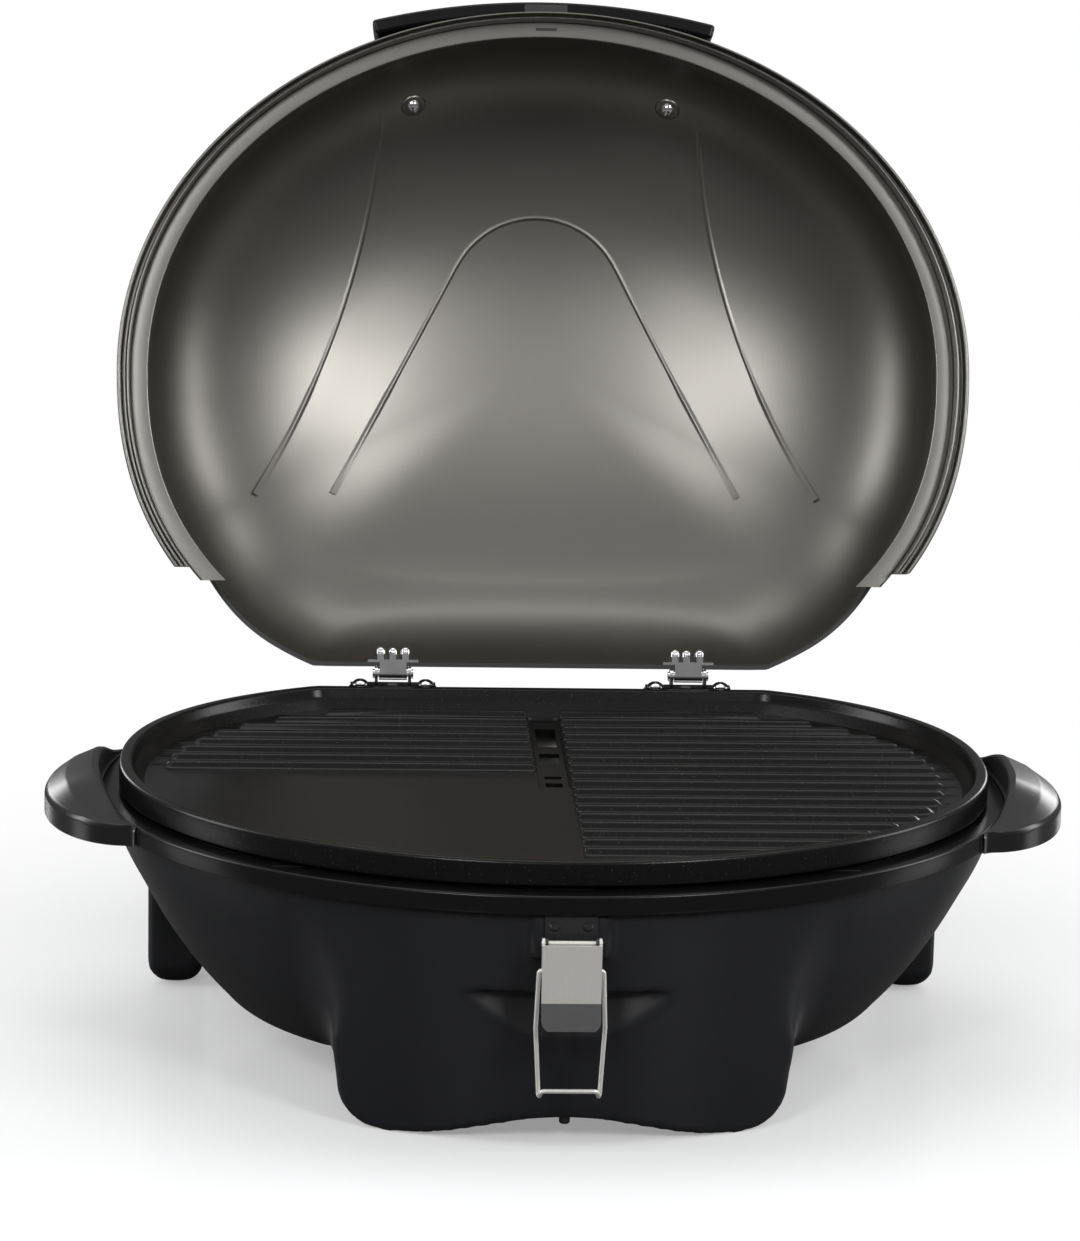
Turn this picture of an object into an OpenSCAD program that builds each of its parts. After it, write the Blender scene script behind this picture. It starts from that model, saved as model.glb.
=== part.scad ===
// Electric indoor grill: legged bowl, oval cast plate and a hinged dome lid, shown open.
// X is to the right, Y to the back, Z up. The floor is Z = 0 and X = 0 is the middle plane.

/* [Plate] */
// Width of the cooking plate over its rim
plate_w = 500; // [470:5:520]
// Distance from the widest line of the plate to its front edge
plate_front = 214; // [200:1:225]
// Distance from the widest line of the plate to its straight back edge
plate_back = 176; // [168:1:184]
// Height of the plate rim above the floor
rim_z = 165; // [160:1:175]
// Depth of the plate wall that shows above the bowl
plate_wall_h = 14; // [12:0.5:16]
// Depth of the cooking surface below the rim
plate_floor_depth = 12; // [10:0.5:13]
// Thickness of the cast plate
plate_t = 4; // [3.5:0.5:5]
// Height of the cooking ribs
rib_h = 4; // [2:0.5:5]
// Distance from one cooking rib to the next
rib_pitch = 17.9; // [16:0.1:19]
// Number of ribs on the ribbed half
rib_count = 18; // [14:1:18]
// Number of short ribs behind the flat quarter
rib_count_left = 8; // [4:1:9]
// Width of the drain channel between the two halves
channel_w = 18; // [14:1:22]

/* [Ring and bowl] */
// Overhang of the ring beyond the plate
ring_over = 10; // [9:0.5:11]
// Height of the glossy ring
ring_h = 11; // [9:0.5:13]
// Drop from the plate rim to the ring top
ring_drop = 16.5; // [16:0.5:20]
// Wall thickness of the moulded bowl
bowl_t = 3; // [2.5:0.5:4]
// Height of the bowl floor above the table
bowl_floor_z = 26; // [24:1:30]
// Half width of the front apron over its two feet
apron_half = 124; // [116:1:130]
// Sideways flare of the front apron from its feet up to the ring
apron_flare = 14; // [4:1:20]
// Height of the arch between the front feet
arch_h = 10; // [6:1:16]
// Sideways position of the rear legs
rear_leg_x = 220; // [212:1:222]
// Position of the rear legs behind the middle of the bowl
rear_leg_y = 128; // [120:1:130]
// Radius of the round rear feet
rear_leg_r = 17; // [14:1:18]

/* [Side handles] */
// Reach of a side handle from the middle plane
handle_reach = 292; // [288:1:298]
// Half length of a side handle
handle_half = 84; // [80:1:88]
// Height of the raised inner edge of a side handle above the floor
handle_top_z = 162; // [158:1:164]

/* [Lid] */
// Thickness of the lid shell
lid_t = 2.2; // [1.8:0.2:2.6]
// Height of the upright wall at the foot of the dome
lid_band = 22; // [20:1:26]
// Height of the dome above its upright wall
dome_h = 100; // [85:5:115]
// Lean of the open lid beyond upright
lid_lean = 15; // [10:1:20]
// Height of the hinge pin above the floor
hinge_z = 170; // [168:0.5:172]
// Distance of each hinge from the middle plane
hinge_x = 90.5; // [80:0.5:100]
// Length of the lid handle along its front edge
lid_handle_w = 214; // [180:2:230]

/* [Latch] */
// Width of the latch lever
lever_w = 32; // [28:1:36]
// Length of the latch lever below its pin
lever_len = 47; // [42:1:50]
// Height of the latch pin above the floor
latch_z = 124; // [120:1:128]
// Diameter of the bail wire
bail_d = 2.5; // [2:0.1:3]
// Reach of the bail from its pivot to its lowest corners
bail_reach = 71; // [68:1:73]

/* [Hidden] */
$fn = 48;
eps = 0.01;
tall = 400;

// Plan outline: a half ellipse in front, and a fuller curve cut off straight at the back
half_w = plate_w / 2;
wide_y = 20;
back_y = wide_y + plate_back;
front_y = wide_y - plate_front;
rear_bulge = 200;
rear_power = 2 / 2.3;
steps = 72;

// Levels
ring_top = rim_z - ring_drop;
ring_bot = ring_top - ring_h;
plate_floor = rim_z - plate_floor_depth;
plate_under = plate_floor - plate_t;
plate_wall_bot = rim_z - plate_wall_h;
bowl_h = ring_bot - bowl_floor_z;

// Bowl sections: share of the bowl height below the ring, and share of the top outline
bowl_sections = [[1, 0.66], [0.965, 0.722], [0.874, 0.766], [0.785, 0.802], [0.695, 0.834],
                 [0.516, 0.888], [0.336, 0.933], [0.16, 0.974], [0, 1]];
bowl_over = 4;
leg_depth = 42;
leg_sink = 0.6;
apron_back_y = -112;
apron_foot_share = 0.88;
foot_in = 76;
apron_corner = 24;
bumper_y = -171;

handle_x = 241;
handle_y = 12;
handle_screw_y = [0, 40];

// Finger scoop behind the latch
scoop_z = 90;
scoop_half = 72;
scoop_drop = 32;
scoop_r = 280;

// Reflector pan and what it carries
pan_z = 60;
pan_t = 1.5;
pan_sections = [[0, 0.62], [0.34, 0.755], [0.765, 0.885], [0.9, 0.91], [1, 0.925]];
post_x = 90;
post_y = 62;
post_r = 7;
drain_y = 75;
spout_r = 12;
spout_z = 22;
element_z = 122;
element_r = 4;
element_half = 160;
element_front = -98;
element_rear = 105;
element_bend = 45;
element_gap = 22;
inlet_pad = 40;
inlet_y = 190;
inlet_screw_x = 33.5;
bracket_t = 1.5;

// Grease tray under the bowl
tray_w = 136;
tray_y0 = -18;
tray_y1 = 138;
tray_z0 = 6;
tray_h = 14;
tray_t = 1.5;
rail_w = 4;
rail_lip = 5;

// Lid, drawn closed and then swung open about the hinge pin
lip_gap = 0.8;
lip_z = rim_z + lip_gap;
lid_edge_z = lip_z + lid_t;
bead_out = 9.5;
bead_in = 3;
bead_z = ring_top + lip_gap;
lip_in = 8;
rear_in = 3;
dome_power = 2.1;
dome_cuts = [1, 0.985, 0.94, 0.87, 0.77, 0.64, 0.48, 0.3, 0.12];
notch_y = 142;
notch_step = 8;
hinge_y = back_y + 10;
wall_y = back_y + rear_in;
crease_x = 99;
crease_y0 = -155;
crease_y1 = 96;
crease_lean = 0.0594;
crease_bow = 0.00103;
arch_r = 57;
arch_top_y = -88;
arch_angle = 27.7;
crease_r = 1.6;

// Lid handle: a quarter ellipse section turned about a far centre
grip_r = 447;
grip_y = -213.5;
grip_z = 198;
grip_deep = 75;
grip_high = 72;
grip_t = 9;
grip_sweep = asin(lid_handle_w / 2 / grip_r);
foot_x = 80;
foot_y = -153;
foot_r = 11;
seat_drop = 1.2;

// Hinges
pad_half = 27;
pad_y0 = back_y + 2.5;
pad_y1 = back_y + 16.5;
pad_z = rim_z - 3;
strap_t = 1.8;
strap_half = 26;
strap_screw = 20;
cheek_r = 4.4;
cheek_x = 9.3;
pin_r = 2;
knuckle_r = 3.8;
knuckle_half = 8.6;
leaf_t = 1.6;
leaf_half = 15.5;
leaf_h = 21.5;
bolt_x = 7.6;
bolt_z = 9;
bolt_step = 8;

// Latch
latch_y = -209;
bail_drop = 15;
bail_x = lever_w / 2 + 1.4;
bail_z = latch_z - bail_drop;
hook_y = 5;
hook_z = 5;
sheet = 1.5;
ear_x = lever_w / 2 - sheet - 0.3;
latch_pin_r = 1.5;
latch_pad_y = -199;
lever_bend = 24;
lever_out = 5;

function signed_pow(v, p) = sign(v) * pow(abs(v), p);

// Points of the plan outline, moved out by g
function oval(g) = [for (i = [0 : steps - 1]) oval_point(i, g, g)];

function oval_point(i, g, g_back) =
    let (t = 360 * i / steps, c = cos(t), v = sin(t))
    v < 0
        ? [(half_w + g) * c, wide_y + (plate_front + g) * v]
        : [(half_w + g) * signed_pow(c, rear_power),
           wide_y + min((rear_bulge + g) * pow(v, rear_power), plate_back + g_back)];

// A smooth step from 0 to 1 as v goes from a to b
function smooth(v, a, b) =
    let (u = min(1, max(0, (v - a) / (b - a))))
    u * u * (3 - 2 * u);

// One ring of points: an outline shrunk by s toward the middle, at height z
function ring_at(outline, s, z) = [for (p = outline) [s * p[0], s * p[1], z]];

// Foot of the dome: inside the lip in front, out to the thin edge at the back
function dome_foot(out) = [for (i = [0 : steps - 1])
    let (v = sin(360 * i / steps), g = -lip_in + (lip_in + rear_in) * smooth(v, 0.45, 0.8) + out)
    oval_point(i, g, rear_in + out)];

function dome_rise(s) = pow(1 - pow(s, dome_power), 1 / dome_power);

// Rings of a dome from its open edge to its crown
function dome_rings(out, z0) = concat(
    [ring_at(dome_foot(out), 1, z0)],
    [for (s = dome_cuts) ring_at(dome_foot(out), s, lid_edge_z + lid_band + (dome_h + out) * dome_rise(s))]);

// Share s at which a plan point lies on the dome, and the height of the inner face there
function plan_share(x, y) =
    let (w = half_w - lip_in, d = plate_front - lip_in,
         a = pow(x / w, 2) + pow(y / d, 2), b = -2 * y * wide_y / (d * d), c = pow(wide_y / d, 2) - 1,
         k = (-b + sqrt(b * b - 4 * a * c)) / (2 * a))
    1 / k;

function dome_z(x, y) = lid_edge_z + lid_band + dome_h * dome_rise(min(1, plan_share(x, y)));

// Skin a stack of rings that all have the same number of points
module loft(rings) {
    n = len(rings[0]);
    m = len(rings);
    sides = [for (k = [0 : m - 2], i = [0 : n - 1])
        let (a = k * n + i, b = k * n + (i + 1) % n)
        each [[a, a + n, b + n], [a, b + n, b]]];
    polyhedron(
        points = [for (r = rings) each r],
        faces = concat([[for (i = [0 : n - 1]) i]], [[for (i = [n - 1 : -1 : 0]) (m - 1) * n + i]], sides),
        convexity = 8);
}

// A round bar swept along points, with flat ends
module bar(path, r, sides = 6, side = [0, 0, 1]) {
    m = len(path);
    rings = [for (k = [0 : m - 1])
        let (d = path[min(k + 1, m - 1)] - path[max(k - 1, 0)],
             t = d / norm(d), u = cross(t, side) / norm(cross(t, side)), w = cross(t, u))
        [for (j = [0 : sides - 1])
            let (q = 360 * j / sides)
            path[k] + r * cos(q) * u + r * sin(q) * w]];
    loft(rings);
}

module oval_slab(g, z0, z1) {
    translate([0, 0, z0])
        linear_extrude(z1 - z0)
            polygon(oval(g));
}

module oval_band(g_out, g_in, z0, z1) {
    difference() {
        oval_slab(g_out, z0, z1);
        oval_slab(g_in, z0 - 1, z1 + 1);
    }
}

module mirror_copy() {
    children();
    mirror([1, 0, 0])
        children();
}

// A cylinder along X through the origin
module x_rod(r, len) {
    rotate([0, 90, 0])
        cylinder(r = r, h = len, center = true);
}

module box(x0, x1, y0, y1, z0, z1) {
    translate([x0, y0, z0])
        cube([x1 - x0, y1 - y0, z1 - z0]);
}

// Swing what is drawn closed to the open position
module opened() {
    translate([0, hinge_y, hinge_z])
        rotate([-(90 + lid_lean), 0, 0])
            translate([0, -hinge_y, -hinge_z])
                children();
}

// A pan head screw whose head stands on Z = 0 and whose shank points down
module pan_screw(head_r, head_h, shank_r, shank_l) {
    translate([0, 0, -shank_l])
        cylinder(r = shank_r, h = shank_l + eps);
    difference() {
        intersection() {
            translate([0, 0, head_h - head_r * 1.25])
                sphere(r = head_r * 1.25);
            cylinder(r = head_r, h = head_h);
        }
        for (a = [0, 90])
            rotate([0, 0, a])
                translate([-head_r * 0.55, -0.5, head_h * 0.45])
                    cube([head_r * 1.1, 1, head_h]);
    }
}

// Bowl with its front apron, rear legs and posts

function bowl_rings(inset, z_shift) = [for (p = bowl_sections)
    ring_at(oval(bowl_over - inset), p[1], ring_bot - p[0] * bowl_h + z_shift)];

function circle_points(cx, cy, r, a0, a1, n) = [for (i = [0 : n])
    let (a = a0 + (a1 - a0) * i / n)
    [cx + r * cos(a), cy + r * sin(a)]];

// Front view of the apron: two feet with round corners and an arch between them
module apron_front() {
    arch = [for (i = [0 : 12])
        let (x = foot_in - 2 * foot_in * i / 12)
        [x, arch_h * (1 - pow(x / foot_in, 2))]];
    corner_x = apron_half - apron_corner;
    right = circle_points(corner_x, apron_corner, apron_corner, 0, -90, 8);
    left = circle_points(-corner_x, apron_corner, apron_corner, -90, -180, 8);
    top_half = apron_half + apron_flare;
    polygon(concat([[top_half, ring_bot]], right, arch, left, [[-top_half, ring_bot]]));
}

module apron() {
    intersection() {
        translate([0, apron_back_y, 0])
            rotate([90, 0, 0])
                linear_extrude(tall)
                    apron_front();
        loft([ring_at(oval(bowl_over), apron_foot_share, -1), ring_at(oval(bowl_over), 1, ring_bot)]);
    }
}

module rear_leg_front() {
    difference() {
        union() {
            translate([0, rear_leg_r - leg_sink])
                circle(r = rear_leg_r);
            translate([-rear_leg_r, rear_leg_r - leg_sink])
                square([2 * rear_leg_r, ring_bot - rear_leg_r + leg_sink]);
        }
        translate([-tall / 2, -tall])
            square([tall, tall]);
    }
}
module rear_leg_side() {
    round = 14;
    difference() {
        union() {
            for (y = [-leg_depth / 2 + round, leg_depth / 2 - round])
                translate([y, round - leg_sink])
                    circle(r = round);
            translate([-leg_depth / 2 + round, -leg_sink])
                square([leg_depth - 2 * round, round]);
            translate([-leg_depth / 2, round - leg_sink])
                square([leg_depth, ring_bot - round + leg_sink]);
        }
        translate([-tall / 2, -tall])
            square([tall, tall]);
    }
}
module rear_leg() {
    translate([rear_leg_x, rear_leg_y, 0])
        intersection() {
            translate([0, leg_depth / 2, 0])
                rotate([90, 0, 0])
                    linear_extrude(leg_depth)
                        rear_leg_front();
            translate([-rear_leg_r, 0, 0])
                rotate([90, 0, 90])
                    linear_extrude(2 * rear_leg_r)
                        rear_leg_side();
        }
}

// Slide rails for the grease tray, under the bowl floor
module tray_rails() {
    x0 = tray_w / 2 + 0.6;
    mirror_copy()
        union() {
            box(x0, x0 + rail_w, tray_y0, tray_y1 - 10, tray_z0 - 2, bowl_floor_z + 1);
            box(x0 - rail_lip, x0 + rail_w, tray_y0, tray_y1 - 10, tray_z0 - 2, tray_z0 - 0.4);
        }
    box(-x0, x0, tray_y0 - 5, tray_y0 - 0.8, tray_z0 - 2, bowl_floor_z + 1);
}

module base_shell() {
    scoop_circle = (pow(scoop_half, 2) + pow(scoop_drop, 2)) / (2 * scoop_drop);
    scoop_back = sqrt(pow(scoop_r, 2) - pow(scoop_circle, 2));
    color([0.2, 0.205, 0.215])
        difference() {
            union() {
                loft(bowl_rings(0, 0));
                apron();
                intersection() {
                    mirror_copy()
                        rear_leg();
                    oval_slab(ring_over - 1, -1, ring_bot);
                }
                box(-20, 20, latch_pad_y, -170, 112, ring_bot);
                box(-inlet_pad, inlet_pad, 168, inlet_y, 102, ring_bot);
                tray_rails();
            }
            difference() {
                loft(bowl_rings(bowl_t, bowl_t));
                for (x = [-post_x, post_x], y = [-post_y, post_y])
                    translate([x, y, 0])
                        cylinder(r = post_r, h = pan_z);
                box(-inlet_pad, inlet_pad, 179, 240, 100, ring_bot + 1);
            }
            box(-inlet_pad, inlet_pad, inlet_y, 240, 102, ring_bot + 1);
            intersection() {
                translate([0, -188 - scoop_back, scoop_z - scoop_drop + scoop_circle])
                    sphere(r = scoop_r, $fn = 96);
                box(-scoop_half - 20, scoop_half + 20, -260, -150, 0, scoop_z);
            }
            translate([0, drain_y, bowl_floor_z - 5])
                cylinder(r = spout_r + 3, h = 20);
            for (x = [-post_x, post_x], y = [-post_y, post_y])
                translate([x, y, pan_z - 14])
                    cylinder(r = 1.5, h = 20);
            for (x = [-element_gap, element_gap])
                translate([x, 120, element_z])
                    rotate([-90, 0, 0])
                        cylinder(r = element_r + 3, h = 100);
            for (x = [-inlet_screw_x, inlet_screw_x])
                translate([x, inlet_y - 6, element_z])
                    rotate([-90, 0, 0])
                        cylinder(r = 1.3, h = 10);
            for (x = [-9, 9])
                translate([x, latch_pad_y - 1, latch_z + 7])
                    rotate([-90, 0, 0])
                        cylinder(r = 1.6, h = 7);
            translate([0, bumper_y, arch_h - 2])
                cylinder(r = 2.1, h = 12);
        }
}

module apron_bumper() {
    color([0.06, 0.06, 0.06])
        translate([0, bumper_y, arch_h])
            union() {
                translate([0, 0, -4.05])
                    cylinder(r = 3, h = 4);
                translate([0, 0, -1])
                    cylinder(r = 2.1, h = 9);
            }
}

// Glossy ring with the two hinge pads

module rim_ring() {
    color([0.05, 0.05, 0.055])
        difference() {
            union() {
                oval_band(ring_over, ring_over - 3, ring_bot, ring_top);
                oval_band(ring_over, -6, ring_top - 3, ring_top);
                oval_band(bowl_over, 1, ring_bot, ring_top);
                mirror_copy()
                    box(hinge_x - pad_half, hinge_x + pad_half, pad_y0, pad_y1, ring_bot, pad_z);
                mirror_copy()
                    for (y = handle_screw_y)
                        box(half_w + 2, half_w + ring_over - 2, y - 8, y + 8, ring_bot, ring_top - 1);
                intersection() {
                    oval_band(-4, -14, ring_top - 3, plate_under);
                    union() {
                        for (x = [-150, 0, 150])
                            box(x - 12, x + 12, -220, 220, ring_bot, rim_z);
                        box(-260, 260, 8, 32, ring_bot, rim_z);
                    }
                }
            }
            mirror_copy()
                for (x = [-strap_screw, strap_screw])
                    translate([hinge_x + x, hinge_y - 1, pad_z - 12])
                        cylinder(r = 1.6, h = 20);
            mirror_copy()
                for (y = handle_screw_y)
                    translate([half_w + 4, y, ring_bot + 5])
                        x_rod(1.6, 40);
        }
}

// Side handles

function lobe(shrink) = [for (i = [0 : 47])
    let (a = 360 * i / 48)
    [handle_x + (handle_reach - handle_x - shrink) * cos(a), handle_y + (handle_half - shrink) * sin(a)]];

function crest(g_out, g_in, y0, y1, n = 8) = concat(
    [for (i = [0 : n]) let (y = y0 + (y1 - y0) * i / n) [crest_x(g_out, y), y]],
    [for (i = [n : -1 : 0]) let (y = y0 + (y1 - y0) * i / n) [crest_x(g_in, y), y]]);

function crest_x(g, y) = y < wide_y
    ? (half_w + g) * sqrt(1 - pow((y - wide_y) / (plate_front + g), 2))
    : (half_w + g) * pow(1 - pow((y - wide_y) / (rear_bulge + g), 1 / (rear_power / 2)), rear_power / 2);

module lobe_hull(shrink, z0, z1, z2) {
    hull() {
        translate([0, 0, z0])
            linear_extrude(z1 - z0)
                polygon(lobe(shrink));
        translate([0, 0, z2 - 1])
            linear_extrude(1)
                polygon(crest(17 - shrink, 14 - shrink, -40 + shrink, 62 - shrink));
    }
}

module side_handle() {
    band_top = ring_bot + 12;
    wall = 3.5;
    difference() {
        lobe_hull(0, ring_bot, band_top, handle_top_z);
        difference() {
            lobe_hull(wall, ring_bot - 1, band_top - wall, handle_top_z - wall);
            oval_slab(ring_over + wall, ring_bot - 2, tall);
        }
        oval_slab(ring_over, ring_bot - 1, ring_top + eps);
        oval_slab(ring_over + 4, ring_top, tall);
        for (y = handle_screw_y)
            translate([crest_x(ring_over + 3.5, y) - 0.5, y, ring_bot + 5])
                rotate([0, 90, 0])
                    union() {
                        cylinder(r = 3.6, h = 6);
                        translate([0, 0, -6])
                            cylinder(r = 1.6, h = 12);
                    }
    }
}

module handle_right() {
    color([0.07, 0.07, 0.075])
        side_handle();
}

module handle_left() {
    color([0.07, 0.07, 0.075])
        mirror([1, 0, 0])
            side_handle();
}

module handle_screws() {
    color([0.6, 0.6, 0.62])
        mirror_copy()
            for (y = handle_screw_y)
                translate([crest_x(ring_over + 3.5, y) - 0.5, y, ring_bot + 5])
                    rotate([0, 90, 0])
                        pan_screw(3.2, 2, 1.5, 9);
}

// Reflector pan, element and inlet

function pan_rings(inset, z_shift) = [for (p = pan_sections)
    ring_at(oval(-inset), p[1], pan_z + p[0] * (plate_under - 1 - pan_z) + z_shift)];

module reflector_pan() {
    color([0.72, 0.72, 0.7])
        difference() {
            union() {
                loft(pan_rings(0, 0));
                translate([0, drain_y, spout_z])
                    cylinder(r = spout_r, h = pan_z - spout_z + 1);
            }
            translate([0, 0, pan_t])
                loft(concat(pan_rings(pan_t, 0), [ring_at(oval(-pan_t), 0.925, plate_under + 5)]));
            translate([0, drain_y, spout_z - 1])
                cylinder(r = spout_r - pan_t, h = 80);
            for (x = [-post_x, post_x], y = [-post_y, post_y])
                translate([x, y, pan_z - 5])
                    cylinder(r = 1.8, h = 12);
            for (x = [-element_gap, element_gap])
                translate([x, 130, element_z])
                    rotate([-90, 0, 0])
                        cylinder(r = element_r + 3, h = 100);
        }
}

module reflector_screws() {
    color([0.75, 0.75, 0.76])
        for (x = [-post_x, post_x], y = [-post_y, post_y])
            translate([x, y, pan_z + pan_t])
                pan_screw(3.5, 2.4, 1.4, 12);
}

module element_bend_at(x, y, turn) {
    translate([x, y, element_z])
        rotate([0, 0, turn])
            rotate_extrude(angle = 90)
                translate([element_bend, 0])
                    circle(r = element_r);
}

module element_run(x0, y0, x1, y1) {
    length = norm([x1 - x0, y1 - y0]);
    translate([x0, y0, element_z])
        rotate([0, 0, atan2(y1 - y0, x1 - x0)])
            rotate([0, 90, 0])
                cylinder(r = element_r, h = length);
}

module heating_element() {
    xs = element_half - element_bend;
    color([0.25, 0.25, 0.25])
        union() {
            element_run(-xs, element_front, xs, element_front);
            mirror_copy()
                union() {
                    element_bend_at(xs, element_front + element_bend, -90);
                    element_run(element_half, element_front + element_bend, element_half, element_rear - element_bend);
                    element_bend_at(xs, element_rear - element_bend, 0);
                    element_run(xs, element_rear, element_gap + element_bend, element_rear);
                    translate([2 * (element_gap + element_bend), 2 * element_rear + 2 * element_bend, 0])
                        rotate([0, 0, 180])
                            element_bend_at(element_gap + element_bend, element_rear + element_bend, 0);
                    element_run(element_gap, element_rear + element_bend, element_gap, 196);
                }
        }
}

// Clips that stand on the pan and carry the front and rear runs of the element
module element_brackets() {
    color([0.7, 0.7, 0.68])
        for (p = [[-60, element_front], [60, element_front], [-75, element_rear], [75, element_rear]])
            translate([p[0], p[1], 0])
                difference() {
                    union() {
                        box(-bracket_t / 2, bracket_t / 2, -9, 9, pan_z + pan_t, element_z + 2);
                        box(-7, 7, -5, 5, pan_z + pan_t, pan_z + 2 * pan_t);
                    }
                    translate([-10, 0, element_z])
                        rotate([0, 90, 0])
                            cylinder(r = element_r, h = 20);
                    box(-10, 10, -element_r, element_r, element_z, element_z + 5);
                }
}

module element_bushings() {
    color([0.9, 0.88, 0.82])
        for (x = [-element_gap, element_gap])
            translate([x, 166, element_z])
                rotate([-90, 0, 0])
                    difference() {
                        cylinder(r = element_r + 2.8, h = 24);
                        translate([0, 0, -1])
                            cylinder(r = element_r, h = 30);
                    }
}

module thermal_cutout() {
    color([0.85, 0.85, 0.82])
        translate([-50, 40, pan_z + pan_t])
            union() {
                cylinder(r = 8, h = 7);
                translate([-14, -4, 0])
                    cube([28, 8, 1.2]);
                for (x = [-4, 4])
                    translate([x - 0.4, -2.5, 6])
                        cube([0.8, 5, 8]);
            }
}

module inlet_housing() {
    color([0.08, 0.08, 0.08])
        difference() {
            union() {
                box(-37, 37, inlet_y, inlet_y + 4, 106, 136);
                box(-30, 30, inlet_y + 3, inlet_y + 22, 110, 134);
            }
            box(-27, 27, inlet_y + 6, inlet_y + 23, 113, 131);
            for (x = [-inlet_screw_x, inlet_screw_x])
                translate([x, inlet_y - 5, element_z])
                    rotate([-90, 0, 0])
                        cylinder(r = 1.3, h = 20);
            for (x = [-element_gap, element_gap])
                translate([x, 180, element_z])
                    rotate([-90, 0, 0])
                        cylinder(r = element_r, h = 40);
        }
}

module inlet_pins() {
    color([0.8, 0.8, 0.8])
        for (x = [-element_gap, element_gap])
            translate([x, 196, element_z])
                rotate([-90, 0, 0])
                    cylinder(r = 3, h = 13);
}

module inlet_screws() {
    color([0.7, 0.7, 0.7])
        for (x = [-inlet_screw_x, inlet_screw_x])
            translate([x, inlet_y + 4, element_z])
                rotate([-90, 0, 0])
                    pan_screw(2.2, 1.6, 1.2, 6);
}

// Cooking plate

function rib_y(i) = back_y - 27 - i * rib_pitch;

// Half length of the cooking floor at depth y, less the gutter round it
function floor_x(y) = crest_x(-28, y);

module rib(x0, x1, y) {
    translate([x0, y, plate_floor - eps])
        rotate([90, 0, 90])
            linear_extrude(x1 - x0)
                polygon([[-4.5, 0], [4.5, 0], [2.2, rib_h - 0.8], [1.2, rib_h], [-1.2, rib_h], [-2.2, rib_h - 0.8]]);
}

module grill_plate() {
    slots = [[145, 102, 12], [86, 62, 12], [34, 28, 10], [19, 10, 10]];
    color([0.16, 0.16, 0.165])
        difference() {
            union() {
                difference() {
                    union() {
                        oval_slab(0, plate_wall_bot, rim_z);
                        oval_slab(-10, plate_under, rim_z - 1);
                    }
                    loft([ring_at(oval(-15), 1, plate_floor), ring_at(oval(-9), 1, plate_floor + 6),
                          ring_at(oval(-7), 1, rim_z + 1)]);
                }
                for (i = [0 : rib_count - 1])
                    rib(channel_w / 2, floor_x(rib_y(i)), rib_y(i));
                for (i = [0 : rib_count_left - 1])
                    rib(-floor_x(rib_y(i)), -channel_w / 2, rib_y(i));
            }
            box(-channel_w / 2 + 1, channel_w / 2 - 1, 4, back_y - 30, plate_floor - 1.5, rim_z);
            for (s = slots)
                box(-s[2] / 2, s[2] / 2, s[1], s[0], plate_under - 5, rim_z);
        }
}

module grease_tray() {
    color([0.7, 0.7, 0.7])
        difference() {
            union() {
                box(-tray_w / 2, tray_w / 2, tray_y0, tray_y1, tray_z0, tray_z0 + tray_h);
                box(-tray_w / 2, tray_w / 2, tray_y1 - 2, tray_y1 + 14, tray_z0 + tray_h - 2, tray_z0 + tray_h);
            }
            box(-tray_w / 2 + tray_t, tray_w / 2 - tray_t, tray_y0 + tray_t, tray_y1 - 2,
                tray_z0 + tray_t, tray_z0 + tray_h + 1);
        }
}

// Lid, drawn closed

// Creases pressed into the dome, as plan points on its inner face
function crease_point(x, y) = [x, y, dome_z(x, y) - 0.4];

function outer_crease() = [for (i = [0 : 12])
    let (y = crease_y0 + (crease_y1 - crease_y0) * i / 12)
    crease_point(crease_x + crease_lean * (y - crease_y0) + crease_bow * pow(y - crease_y0, 2), y)];

function arch_crease() =
    let (sweep = 90 - arch_angle, x1 = arch_r * sin(sweep), y1 = arch_top_y + arch_r * (1 - cos(sweep)))
    concat(
        [for (i = [0 : 6]) let (a = sweep * i / 6)
            crease_point(arch_r * sin(a), arch_top_y + arch_r * (1 - cos(a)))],
        [for (i = [1 : 8]) let (y = y1 + (crease_y1 - y1) * i / 8)
            crease_point(x1 + (y - y1) * tan(arch_angle), y)]);

function reversed(list) = [for (i = [len(list) - 1 : -1 : 1]) [-list[i][0], list[i][1], list[i][2]]];

// Stand the Z axis square to the dome at a handle foot
module handle_foot_axis(x) {
    gx = dome_z(x + 1, foot_y) - dome_z(x, foot_y);
    gy = dome_z(x, foot_y + 1) - dome_z(x, foot_y);
    translate([x, foot_y, dome_z(x, foot_y)])
        rotate([0, atan(norm([gx, gy])), atan2(-gy, -gx)])
            children();
}

module bolt_places() {
    for (side = [-1, 1], i = [-1, 0, 1])
        translate([side * hinge_x + i * bolt_x, wall_y, lid_edge_z + bolt_z + (i == 0 ? bolt_step : 0)])
            rotate([90, 0, 0])
                children();
}

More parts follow.
